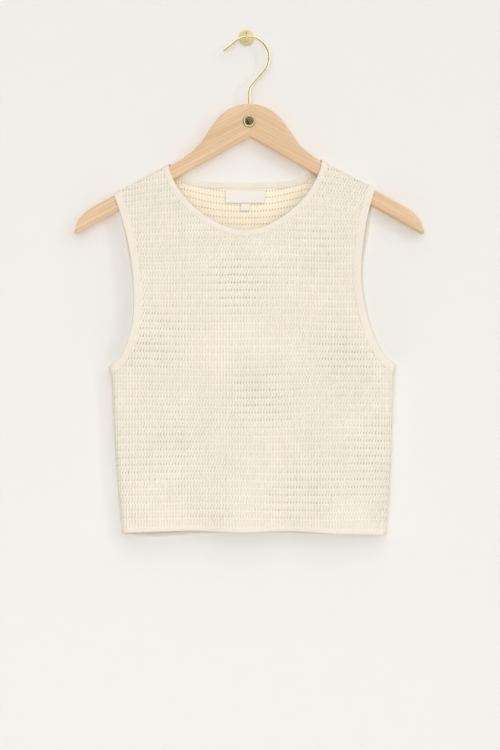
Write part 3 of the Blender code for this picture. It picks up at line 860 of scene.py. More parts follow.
def turned(profile: list[tuple[float, float]], centre: tuple[float, float], steps: int) -> MeshData:
    """Turns a profile about an axis along Y.

    Args:
        profile: (radius, depth) points from the axis out and back to it.
        centre: The axis's X and Z.
        steps: How many places round it.

    Returns:
        The closed skin.
    """
    angles = 2 * math.pi * np.arange(steps) / steps
    points, starts = [], []
    for radius, depth in profile:
        starts.append(len(points))
        for angle in angles if radius else angles[:1]:
            x, z = radius * math.cos(angle), radius * math.sin(angle)
            points.append((centre[0] + x, depth, centre[1] + z))
    faces = []
    for (r1, _), (r2, _), low, high in zip(profile, profile[1:], starts, starts[1:]):
        for k in range(steps):
            after = (k + 1) % steps
            face = [low + k if r1 else low, low + after if r1 else low]
            face += [high + after if r2 else high, high + k if r2 else high]
            faces.append(tuple(dict.fromkeys(face)))
    return MeshData(np.array(points), faces)


def rod(route: np.ndarray, radii: np.ndarray, flat_way: Triple, sides: int) -> MeshData:
    """Sweeps a round rod along a route that lies in one plane.

    Args:
        route: Points along its middle.
        radii: Its radius at each of them.
        flat_way: The plane's normal.
        sides: How many places round it.

    Returns:
        The skin, capped at both ends.
    """
    tangent = np.gradient(route, axis=0)
    tangent /= np.linalg.norm(tangent, axis=1, keepdims=True)
    out = np.broadcast_to(np.array(flat_way, float), tangent.shape)
    over = np.cross(tangent, out)
    angles = (2 * math.pi * np.arange(sides) / sides)[None, :, None]
    spokes = np.cos(angles) * out[:, None] + np.sin(angles) * over[:, None]
    rings = route[:, None] + radii[:, None, None] * spokes
    around = 2 * math.pi * float(radii.max()) * np.arange(sides + 1) / sides
    return swept(rings, lengths_along(route), around, False)


def rounded_ends(route: np.ndarray, radius: float, steps: int = 5) -> tuple[np.ndarray, np.ndarray]:
    """Rounds both ends of a rod off, within its length.

    Args:
        route: The points along its middle.
        radius: The rod's radius.
        steps: Rings in each nose.

    Returns:
        The new route and the radius at each of its points.
    """
    tip_angle, nose_share = 0.12, 1.15
    angles = np.linspace(math.pi / 2, tip_angle, steps)
    first = (route[0] - route[1]) / np.linalg.norm(route[0] - route[1])
    last = (route[-1] - route[-2]) / np.linalg.norm(route[-1] - route[-2])
    reach = radius * (np.cos(angles) - 1)[:, None]
    start, end = route[0] + reach * first, route[-1] + reach * last
    away = [np.linalg.norm(route - route[at], axis=1) for at in (0, -1)]
    inner = route[np.minimum(*away) > radius * nose_share]
    nose = radius * np.sin(angles)
    points = np.concatenate([start[::-1], inner, end])
    return points, np.concatenate([nose[::-1], np.full(len(inner), radius), nose])


def opaque(colour: object) -> object:
    """A plain colour with full opacity, or a socket as it is."""
    return (*colour, 1.0) if isinstance(colour, tuple) else colour


class Wiring:
    """Adds nodes to one node tree and joins them up."""

    def __init__(self, tree: bpy.types.NodeTree) -> None:
        """Starts on a tree."""
        self.tree = tree

    def feed(self, node: bpy.types.Node, inputs: dict) -> None:
        """Fills a node's inputs.

        Args:
            node: The node.
            inputs: A value or a socket for each input, by name or number.
        """
        for key, value in inputs.items():
            if isinstance(value, Socket):
                self.tree.links.new(value, node.inputs[key])
            else:
                node.inputs[key].default_value = value

    def node(self, kind: str, inputs: dict | None = None, **settings: object) -> bpy.types.Node:
        """Adds one node.

        Args:
            kind: Its type.
            inputs: A value or a socket for each input, by name or number.
            settings: Its own settings.

        Returns:
            The node.
        """
        made = self.tree.nodes.new(kind)
        row, column = divmod(len(self.tree.nodes), 12)
        made.location = (180 * column, -240 * row)
        for key, value in settings.items():
            setattr(made, key, value)
        self.feed(made, inputs or {})
        return made

    def calc(self, operation: str, first: object, second: object = 0.0) -> Socket:
        """The result of one sum on numbers."""
        return self.node("ShaderNodeMath", {0: first, 1: second}, operation=operation).outputs[0]

    def plus(self, *values: object) -> Socket:
        """Numbers added up."""
        return reduce(partial(self.calc, "ADD"), values)

    def minus(self, first: object, second: object) -> Socket:
        """One number less another."""
        return self.calc("SUBTRACT", first, second)

    def times(self, *values: object) -> Socket:
        """Numbers multiplied."""
        return reduce(partial(self.calc, "MULTIPLY"), values)

    def size(self, value: object) -> Socket:
        """A number without its sign."""
        return self.calc("ABSOLUTE", value)

    def spread(self, value: object, low: float, high: float, *to: float) -> Socket:
        """A number moved smoothly from one range to another, or to 0 to 1, held at its ends."""
        inputs = dict(enumerate((value, low, high, *(to or (0.0, 1.0)))))
        return self.node("ShaderNodeMapRange", inputs, interpolation_type="SMOOTHSTEP").outputs[0]

    def around(self, value: object, middle: float, reach: float) -> Socket:
        """A fibre's or thread's height moved to a reach about a middle."""
        return self.spread(value, 0.2, 0.8, middle - reach, middle + reach)

    def blend(self, share: object, low: object, high: object, way: str = "MIX") -> Socket:
        """Two colours mixed by a share."""
        inputs = {0: share, 6: opaque(low), 7: opaque(high)}
        return self.node("ShaderNodeMix", inputs, data_type="RGBA", blend_type=way).outputs[2]

    def toned(self, colour: object, tone: object, darkest: float, lightest: float = 1.03) -> Socket:
        """Makes a colour darker and lighter with a tone.

        Args:
            colour: The colour.
            tone: The tone, from about 0.3 to 0.7.
            darkest: What the colour is multiplied by at the low end.
            lightest: What it is multiplied by at the high end.

        Returns:
            The toned colour.
        """
        share = self.spread(tone, 0.3, 0.7, darkest, lightest)
        grey = self.node("ShaderNodeCombineColor", dict.fromkeys(range(3), share))
        return self.blend(1.0, colour, grey.outputs[0], "MULTIPLY")

    def noise(self, at: object, scale: object, detail: float = 2.0, rough: float = 0.5) -> Socket:
        """A soft noise of a given scale, from 0 to 1."""
        inputs = {"Vector": at, "Scale": scale, "Detail": detail, "Roughness": rough}
        return self.node("ShaderNodeTexNoise", inputs).outputs[0]

    def scaled(self, vector: object, scale: Triple) -> Socket:
        """A vector stretched by a factor along each axis."""
        inputs = {0: vector, 1: scale}
        return self.node("ShaderNodeVectorMath", inputs, operation="MULTIPLY").outputs[0]

    def parts(self, vector: object) -> bpy.types.NodeOutputs:
        """A vector's X, Y and Z as three sockets."""
        return self.node("ShaderNodeSeparateXYZ", {0: vector}).outputs

    def bump(self, height: object, depth: float) -> Socket:
        """The surface's normal over a height from 0 to 1 that is a depth in metres."""
        inputs = {"Height": height, "Distance": depth, "Strength": 0.8}
        return self.node("ShaderNodeBump", inputs).outputs[0]

    def place(self) -> Socket:
        """The surface's place in the object, in metres."""
        return self.node("ShaderNodeTexCoord").outputs["Object"]

    def stitch(self) -> Socket:
        """The surface's stitch coordinate."""
        return self.node("ShaderNodeUVMap", uv_map=STITCH_MAP).outputs[0]

    def behind(self) -> Socket:
        """1 on a surface's back and 0 on its front."""
        return self.node("ShaderNodeNewGeometry").outputs["Backfacing"]

    def group(self, tree: bpy.types.NodeTree, **inputs: object) -> bpy.types.NodeOutputs:
        """Places a node group with its own values, by name with _ for a space."""
        named = {key.replace("_", " "): value for key, value in inputs.items()}
        return self.node("ShaderNodeGroup", named, node_tree=tree).outputs


class Effect:
    """A shader node group with named inputs and outputs, built once and placed in each material."""

    def __init__(self, name: str, inputs: dict[str, float | None], outputs: list[str]) -> None:
        """Makes the group.

        Args:
            name: Its name.
            inputs: Each input's default, or None for a vector.
            outputs: The numbers that it puts out.
        """
        number, vector = "NodeSocketFloat", "NodeSocketVector"
        self.tree = bpy.data.node_groups.new(name, "ShaderNodeTree")
        add = self.tree.interface.new_socket
        for label, value in inputs.items():
            kind = vector if value is None else number
            socket = add(label, in_out="INPUT", socket_type=kind)
            if value is not None:
                socket.default_value = value
        for label in outputs:
            add(label, in_out="OUTPUT", socket_type=number)
        self.wiring = Wiring(self.tree)
        self.inputs = self.wiring.node("NodeGroupInput").outputs
        self.results = self.wiring.node("NodeGroupOutput")

    def put_out(self, **results: Socket) -> bpy.types.NodeTree:
        """Joins results to the group's outputs by name, and gives the finished group."""
        self.wiring.feed(self.results, results)
        return self.tree


class Effects:
    """The effects that the finishes share."""

    def __init__(self) -> None:
        """Builds each group once."""
        self.cotton_fibre = self._cotton_fibre()
        self.openwork_stitch = self._openwork_stitch()
        self.jersey_stitch = self._jersey_stitch()
        self.handled_metal = self._handled_metal()

    def _cotton_fibre(self) -> bpy.types.NodeTree:
        """Builds fine fibres and the uneven tone of undyed cotton yarn.

        Returns:
            The group.
        """
        effect = Effect("Cotton fibre", {"Place": None, "Fibre scale": 1400.0}, ["Tone", "Lift"])
        w, place = effect.wiring, effect.inputs["Place"]
        fine = w.noise(place, effect.inputs["Fibre scale"], 3.0, 0.65)
        soft = w.noise(place, 22.0, 3.0)
        slub = w.noise(w.scaled(place, (1.0, 1.0, 3.2)), 190.0)
        tone = w.plus(w.times(fine, 0.35), w.times(soft, 0.4), w.times(slub, 0.25))
        return effect.put_out(Tone=tone, Lift=fine)

    def _openwork_stitch(self) -> bpy.types.NodeTree:
        """Builds the plied yarn of one openwork stitch: a slanted bar over a level strand.

        Returns:
            The group.
        """
        inputs = {"Stitch": None, "Bar middle": 0.25, "Strand top": 0.27}
        inputs |= {"Hole height": 0.4, "Ply turns": 5.0}
        effect = Effect("Openwork stitch", inputs, ["Hollow", "Eye", "Lift"])
        w, given = effect.wiring, effect.inputs
        u, v = (w.calc("FRACT", part) for part in w.parts(given["Stitch"])[:2])
        off = w.size(w.minus(u, given["Bar middle"]))
        off = w.calc("MINIMUM", off, w.minus(1.0, off))
        bar = w.spread(off, 0.30, 0.04)
        half = w.times(given["Strand top"], 0.5)
        strand = w.spread(w.calc("DIVIDE", w.size(w.minus(v, half)), half), 1.15, 0.25)
        crest = w.calc("MAXIMUM", bar, w.times(strand, 0.55))
        aside = w.calc("DIVIDE", w.minus(0.5, off), 0.27)
        above = w.calc("DIVIDE", w.minus(v, given["Hole height"]), 0.16)
        away = w.plus(w.times(aside, aside), w.times(above, above))
        slant = w.plus(w.times(v, given["Ply turns"]), w.times(u, 2.0))
        level = w.plus(w.times(u, 2.0), w.times(v, 3.0))
        bar_ply, strand_ply = (
            w.times(yarn, w.calc("SINE", w.times(turn, math.tau)))
            for yarn, turn in ((bar, slant), (strand, level))
        )
        lift = w.plus(crest, w.times(w.plus(bar_ply, strand_ply), 0.25))
        # Hollow is painted shade in the gaps between the bars and the strands; Eye is painted shade
        # round each hole.
        return effect.put_out(Hollow=w.minus(1.0, crest), Eye=w.spread(away, 1.0, 0.25), Lift=lift)

    def _jersey_stitch(self) -> bpy.types.NodeTree:
        """Builds fine plain knitting: columns of small V stitches along a band.

        Returns:
            The group.
        """
        inputs = {"Stitch": None, "Column width": 1.3, "Row height": 1.0, "Lean": 0.6}
        effect = Effect("Jersey stitch", inputs, ["Hollow", "Lift"])
        w, given = effect.wiring, effect.inputs
        across, along = w.parts(given["Stitch"])[:2]
        column = w.calc("FRACT", w.calc("DIVIDE", across, given["Column width"]))
        off = w.size(w.minus(column, 0.5))
        row = w.calc("DIVIDE", along, given["Row height"])
        leaned = w.calc("FRACT", w.plus(row, w.times(off, given["Lean"])))
        leg = w.spread(w.size(w.minus(leaned, 0.5)), 0.5, 0.15)
        lift = w.times(leg, w.spread(off, 0.0, 0.16))
        # Hollow is painted shade between the stitches' legs.
        return effect.put_out(Hollow=w.minus(1.0, lift), Lift=lift)

    def _handled_metal(self) -> bpy.types.NodeTree:
        """Builds fine scratches, dulled patches and finger marks on metal that is handled.

        Returns:
            The group.
        """
        inputs = {"Place": None, "Scratch scale": 900.0, "Smudge scale": 60.0}
        inputs |= {"Tarnish scale": 210.0}
        effect = Effect("Handled metal", inputs, ["Scratch", "Smudge", "Tarnish"])
        w, place, given = effect.wiring, effect.inputs["Place"], effect.inputs
        scratch = w.noise(w.scaled(place, (0.15, 1.0, 1.0)), given["Scratch scale"], 2.0, 0.7)
        smudge = w.spread(w.noise(place, given["Smudge scale"], 3.0, 0.6), 0.35, 0.7)
        tarnish = w.spread(w.noise(place, given["Tarnish scale"], 3.0, 0.6), 0.42, 0.62)
        return effect.put_out(Scratch=scratch, Smudge=smudge, Tarnish=tarnish)


class Finish:
    """The start of every finish: a named material with its wiring and its one shader."""

    name: str

    def material(self) -> bpy.types.Material:
        """Makes the material.

        Returns:
            The material, its shader fed by the finish's own paint method.
        """
        made = bpy.data.materials.new(self.name)
        made.use_nodes = True
        self.paint(Wiring(made.node_tree), made.node_tree.nodes["Principled BSDF"])
        return made

    def paint(self, w: Wiring, shader: bpy.types.Node) -> None:
        """Feeds the shader, differently in each finish."""
        raise NotImplementedError


@dataclass(frozen=True)
class CreamKnit(Finish):
    """The openwork panels' undyed cotton yarn, with painted shade in its gaps and round its holes,
    and a painted warm bounce light that makes it warmer on the inside.
    """

    effects: Effects
    name: str = "cream openwork knit"
    colour: Colour = (0.975, 0.934, 0.835)
    # Painted shade: the hollow colour darkens the gaps between the bars and the strands.
    hollow: Colour = (0.80, 0.712, 0.555)
    # Painted warm bounce light: the inside colour is laid on the back of the cloth, warm as the
    # light thrown round inside the garment makes it.
    inside: Colour = (0.965, 0.87, 0.69)
    # Painted shade: this colour darkens round each hole, most on the inside.
    eye: Colour = (0.50, 0.345, 0.165)
    hollow_shade_share: float = 0.72
    inside_bounce_share: float = 0.85
    hole_shade_shares: tuple[float, float] = (0.06, 0.85)
    inside_flatter: float = 0.7
    fibre_lift: float = 0.3
    roughness: float = 0.88
    sheen: float = 0.12
    depth: float = 0.0006

    def paint(self, w: Wiring, shader: bpy.types.Node) -> None:
        """Feeds the shader.

        Args:
            w: The material's wiring.
            shader: Its shader.
        """
        knit = w.group(self.effects.openwork_stitch, Stitch=w.stitch())
        fibre = w.group(self.effects.cotton_fibre, Place=w.place())
        behind = w.behind()
        outer = w.blend(w.times(knit["Hollow"], self.hollow_shade_share), self.colour, self.hollow)
        colour = w.blend(w.times(behind, self.inside_bounce_share), outer, self.inside)
        # Painted shade round the holes, strong on the inside and faint on the outside.
        shaded = w.times(knit["Eye"], w.spread(behind, 0.0, 1.0, *self.hole_shade_shares))
        colour = w.blend(shaded, colour, self.eye)
        lift = w.times(knit["Lift"], w.minus(1.0, w.times(behind, self.inside_flatter)))
        lift = w.plus(lift, w.times(fibre["Lift"], self.fibre_lift))
        inputs = {"Base Color": w.toned(colour, fibre["Tone"], 0.93), "Sheen Weight": self.sheen}
        inputs |= {"Normal": w.bump(lift, self.depth)}
        w.feed(shader, inputs | {"Roughness": w.around(fibre["Lift"], self.roughness, 0.06)})


@dataclass(frozen=True)
class CreamBand(Finish):
    """The smooth knitted trim of the neck, armholes and hem, a little pinker than the panels, with
    painted shade between its stitches.
    """

    effects: Effects
    name: str = "cream knitted trim"
    colour: Colour = (0.915, 0.845, 0.74)
    # Painted shade: the hollow colour darkens the trim between its stitches' legs.
    hollow: Colour = (0.84, 0.745, 0.61)
    hollow_shade_share: float = 0.35
    fibre_scale: float = 1800.0
    fibre_lift: float = 0.4
    roughness: float = 0.85
    sheen: float = 0.12
    depth: float = 0.00018

    def paint(self, w: Wiring, shader: bpy.types.Node) -> None:
        """Feeds the shader.

        Args:
            w: The material's wiring.
            shader: Its shader.
        """
        knit = w.group(self.effects.jersey_stitch, Stitch=w.stitch())
        fibre = w.group(self.effects.cotton_fibre, Place=w.place(), Fibre_scale=self.fibre_scale)
        colour = w.blend(w.times(knit["Hollow"], self.hollow_shade_share), self.colour, self.hollow)
        lift = w.plus(knit["Lift"], w.times(fibre["Lift"], self.fibre_lift))
        inputs = {"Base Color": w.toned(colour, fibre["Tone"], 0.95), "Sheen Weight": self.sheen}
        inputs |= {"Normal": w.bump(lift, self.depth)}
        w.feed(shader, inputs | {"Roughness": w.around(fibre["Lift"], self.roughness, 0.06)})


@dataclass(frozen=True)
class WhiteLabel(Finish):
    """The bare woven label and size tab: close satin threads, slightly glossy, with painted shade
    between the threads.
    """

    effects: Effects
    name: str = "white woven label"
    colour: Colour = (0.915, 0.855, 0.80)
    gap_shade_and_tone: Colour = (0.865, 0.80, 0.73)
    thread_width: float = 0.32
    thread_height: float = 0.5
    fibre_scale: float = 2600.0
    roughness: float = 0.6
    depth: float = 0.00006

    def paint(self, w: Wiring, shader: bpy.types.Node) -> None:
        """Feeds the shader.

        Args:
            w: The material's wiring.
            shader: Its shader.
        """
        size = {"Column_width": self.thread_width, "Row_height": self.thread_height}
        weave = w.group(self.effects.jersey_stitch, Stitch=w.stitch(), Lean=0.1, **size)
        fibre = w.group(self.effects.cotton_fibre, Place=w.place(), Fibre_scale=self.fibre_scale)
        # Painted shade between the threads, mixed with the yarn's own uneven tone.
        share = w.times(w.plus(weave["Hollow"], fibre["Tone"]), 0.5)
        inputs = {"Base Color": w.blend(share, self.colour, self.gap_shade_and_tone)}
        inputs |= {"Normal": w.bump(weave["Lift"], self.depth)}
        w.feed(shader, inputs | {"Roughness": w.around(fibre["Lift"], self.roughness, 0.08)})


@dataclass(frozen=True)
class BeechWood(Finish):
    """Pale lacquered beech, its grain running down each arm from the mitre in the middle."""

    middle_x: float
    slope: float
    # How far the arm's lower edge lies below the middle of the grain, and its taper
    edge_from: float = 113.5
    edge_taper: float = 0.0281
    name: str = "lacquered beech"
    pale: Colour = (0.785, 0.56, 0.357)
    figure: Colour = (0.655, 0.43, 0.245)
    fleck: Colour = (0.60, 0.36, 0.18)
    # How much stronger each thing is on the left and on the right arm. The edge's share is a
    # painted highlight along the left arm's lower edge and painted shade along the right arm's
    painted_edge_shading_by_arm: tuple[float, float] = (-0.55, 0.4)
    streaks: tuple[float, float] = (1.0, 0.35)
    right_tone: float = 0.16
    right_shift: float = 0.37
    roughness: tuple[float, float] = (0.35, 0.51)
    coat: float = 0.25
    coat_roughness: float = 0.3
    depth: float = 0.00008

    def paint(self, w: Wiring, shader: bpy.types.Node) -> None:
        """Feeds the shader.

        Args:
            w: The material's wiring.
            shader: Its shader.
        """
        x, y, z = w.parts(w.place())
        from_middle = w.minus(x, self.middle_x * MM)
        right = w.calc("GREATER_THAN", from_middle, 0.0)
        out = w.size(from_middle)
        cosine, sine = math.cos(self.slope), math.sin(self.slope)
        along = w.minus(w.times(out, cosine), w.times(z, sine))
        across = w.plus(w.times(out, sine), w.times(z, cosine))
        low = w.plus(across, self.edge_from * MM, w.times(out, self.edge_taper))
        # A painted highlight along the left arm's rounded lower edge, and painted shade along the
        # right arm's.
        rounded = w.times(w.spread(low, 0.0004, 0.0012), w.spread(low, 0.0034, 0.0022))
        painted_edge_shading = w.times(rounded, w.spread(right, 0.0, 1.0, *self.painted_edge_shading_by_arm))
        shifted = w.plus(across, w.times(right, self.right_shift))
        grain = w.node("ShaderNodeCombineXYZ", {0: along, 1: y, 2: shifted}).outputs[0]
        rings = w.noise(w.scaled(grain, (5.0, 55.0, 95.0)), 1.0, 3.0, 0.55)
        lines = w.noise(w.scaled(grain, (9.0, 300.0, 560.0)), 1.0, 2.0, 0.6)
        pores = w.noise(w.scaled(grain, (260.0, 1500.0, 2600.0)), 1.0, 1.0)
        figure = w.spread(w.plus(rings, w.times(lines, 0.7)), 0.55, 1.15)
        streak = w.spread(lines, 0.36, 0.64, -0.4, 0.4)
        streak = w.times(streak, w.spread(right, 0.0, 1.0, *self.streaks))
        share = w.plus(w.times(figure, 0.55), w.times(right, self.right_tone), streak, painted_edge_shading)
        wood = w.blend(share, self.pale, self.figure)
        flecked = w.times(w.spread(pores, 0.62, 0.74), 0.5)
        inputs = {"Base Color": w.blend(flecked, wood, self.fleck)}
        inputs |= {"Normal": w.bump(w.plus(lines, w.times(pores, -0.5)), self.depth)}
        inputs |= {"Roughness": w.spread(lines, 0.2, 0.8, *self.roughness)}
        w.feed(shader, inputs | {"Coat Weight": self.coat, "Coat Roughness": self.coat_roughness})


@dataclass(frozen=True)
class Brass(Finish):
    """Pale brass, polished or aged."""

    effects: Effects
    name: str
    colour: Colour
    tarnish: Colour
    roughness: float
    tarnish_share: float
    tarnish_scale: float = 210.0
    metallic: float = 1.0
    depth: float = 0.00002

    def paint(self, w: Wiring, shader: bpy.types.Node) -> None:
        """Feeds the shader.

        Args:
            w: The material's wiring.
            shader: Its shader.
        """
        metal = self.effects.handled_metal
        wear = w.group(metal, Place=w.place(), Tarnish_scale=self.tarnish_scale)
        share = w.times(wear["Tarnish"], self.tarnish_share)
        rough = w.plus(w.times(wear["Smudge"], 0.1), w.times(share, 0.25), self.roughness)
        inputs = {"Base Color": w.blend(share, self.colour, self.tarnish), "Roughness": rough}
        inputs |= {"Normal": w.bump(wear["Scratch"], self.depth)}
        w.feed(shader, inputs | {"Metallic": self.metallic})


@dataclass(frozen=True)
class WallPaint(Finish):
    """Matt paint with a faint roller texture, seen only from the room's side."""

    name: str = "pale wall paint"
    colour: Colour = (0.814, 0.803, 0.781)
    roughness: float = 0.95
    gloss: float = 0.1
    roller_scale: float = 420.0
    depth: float = 0.00005

    def paint(self, w: Wiring, shader: bpy.types.Node) -> None:
        """Feeds the shader, and clears the wall from behind.

        Args:
            w: The material's wiring.
            shader: Its shader.
        """
        inputs = {"Base Color": opaque(self.colour), "Roughness": self.roughness}
        inputs |= {"Normal": w.bump(w.noise(w.place(), self.roller_scale), self.depth)}
        w.feed(shader, inputs | {"Specular IOR Level": self.gloss})
        clear = w.node("ShaderNodeBsdfTransparent").outputs[0]
        mixed = w.node("ShaderNodeMixShader", {0: w.behind(), 1: shader.outputs[0], 2: clear})
        w.feed(w.tree.nodes["Material Output"], {"Surface": mixed.outputs[0]})


@dataclass(frozen=True)
class FloorPaint(Finish):
    """A plain pale floor."""

    name: str = "pale floor"
    colour: Colour = (0.80, 0.79, 0.77)

    def paint(self, w: Wiring, shader: bpy.types.Node) -> None:
        """Feeds the shader."""
        rough = w.spread(w.noise(w.place(), 9.0), 0.3, 0.7, 0.6, 0.75)
        w.feed(shader, {"Base Color": opaque(self.colour), "Roughness": rough})


@dataclass(frozen=True)
class Palette:
    """Every finish of the object, made once."""

    knit: bpy.types.Material
    band: bpy.types.Material
    label: bpy.types.Material
    wood: bpy.types.Material
    brass: bpy.types.Material
    satin_brass: bpy.types.Material
    dark_brass: bpy.types.Material

    @classmethod
    def mixed(cls, form: TankForm) -> "Palette":
        """Builds the finishes.

        Args:
            form: The garment's form, which the wood's grain follows.

        Returns:
            The palette.
        """
        effects = Effects()
        bright = ("pale brass", (0.88, 0.80, 0.52), (0.68, 0.57, 0.33), 0.14, 0.3)
        satin = ("satin brass", (0.76, 0.66, 0.37), (0.70, 0.60, 0.32), 0.45, 0.5, 210.0, 0.4)
        # The aged brass is the badge's own dark centre, and also painted shade in the screw's slot.
        dark = ("aged brass and slot shade", (0.42, 0.37, 0.17), (0.075, 0.062, 0.027), 0.28, 0.98, 620.0)
        finishes = [CreamKnit(effects), CreamBand(effects), WhiteLabel(effects)]
        finishes.append(BeechWood(form.hanger_x, form.arm_slope))
        finishes += [Brass(effects, *metal) for metal in (bright, satin, dark)]
        return cls(*(finish.material() for finish in finishes))


def dress(piece: bpy.types.Object, slot: str, *nodes: str) -> bpy.types.Object:
    """Fixes a piece to the object's one body.

    Args:
        piece: The piece.
        slot: Not used.
        nodes: The solids that it stands for.

    Returns:
        The piece.
    """
    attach(piece, "root")
    if nodes:
        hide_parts(*nodes)
    count = sum(len(p.vertices) - 2 for p in piece.data.polygons)
    LOG.info("%-22s %7d triangles", piece.name, count)
    return piece


class Column(IntEnum):
    """The columns across one stitch: the bar's edges and its crest, and the gap's middle."""

    LEFT = 0
    CREST = 1
    RIGHT = 2
    GAP = 3


class Row(IntEnum):
    """The rows up one stitch: the valley under the strand and its crest, then the hole."""

    VALLEY = 0
    STRAND = 1
    FOOT = 2
    HOLE = 3
    HOLE_TOP = 4
    WEB = 5


@dataclass(frozen=True)
class StitchCell:
    """One openwork stitch as a small patch of the lattice, by Row up it and Column across it."""

    pitch: float = 3.74
    height: float = 9.6
    columns: tuple[float, ...] = (0.04, 0.25, 0.46, 0.75)
    rows: tuple[float, ...] = (0.0, 0.14, 0.29, 0.40, 0.52, 0.78)
    lean: tuple[float, ...] = (0.5, 0.0, -0.5, -0.32, -0.13, 0.22)
    hole_middle: float = 0.76
    hole_half: tuple[float, ...] = (0.0, 0.0, 0.08, 0.15, 0.11, 0.0)
    hole_up: tuple[float, ...] = (0.0, 0.0, -0.02, 0.0, 0.03, 0.0)
    relief: tuple[tuple[float, ...], ...] = (
        (0.09, 0.38, 0.09, -0.08),
        (0.14, 0.40, 0.14, 0.01),
        (0.08, 0.42, 0.08, -0.08),
        (0.00, 0.47, 0.00, -0.20),
        (-0.02, 0.50, -0.02, -0.26),
        (-0.02, 0.46, -0.02, -0.26),
    )


@dataclass(frozen=True)
class Drift:
    """A slow wandering over the cloth: waves, each (size, scale across, scale up, phase)."""

    waves: tuple[tuple[float, float, float, float], ...]

    def at(self, x: np.ndarray, z: np.ndarray) -> np.ndarray:
        """Its value at places."""
        return sum(size * np.sin(x / wide + z / tall + on) for size, wide, tall, on in self.waves)


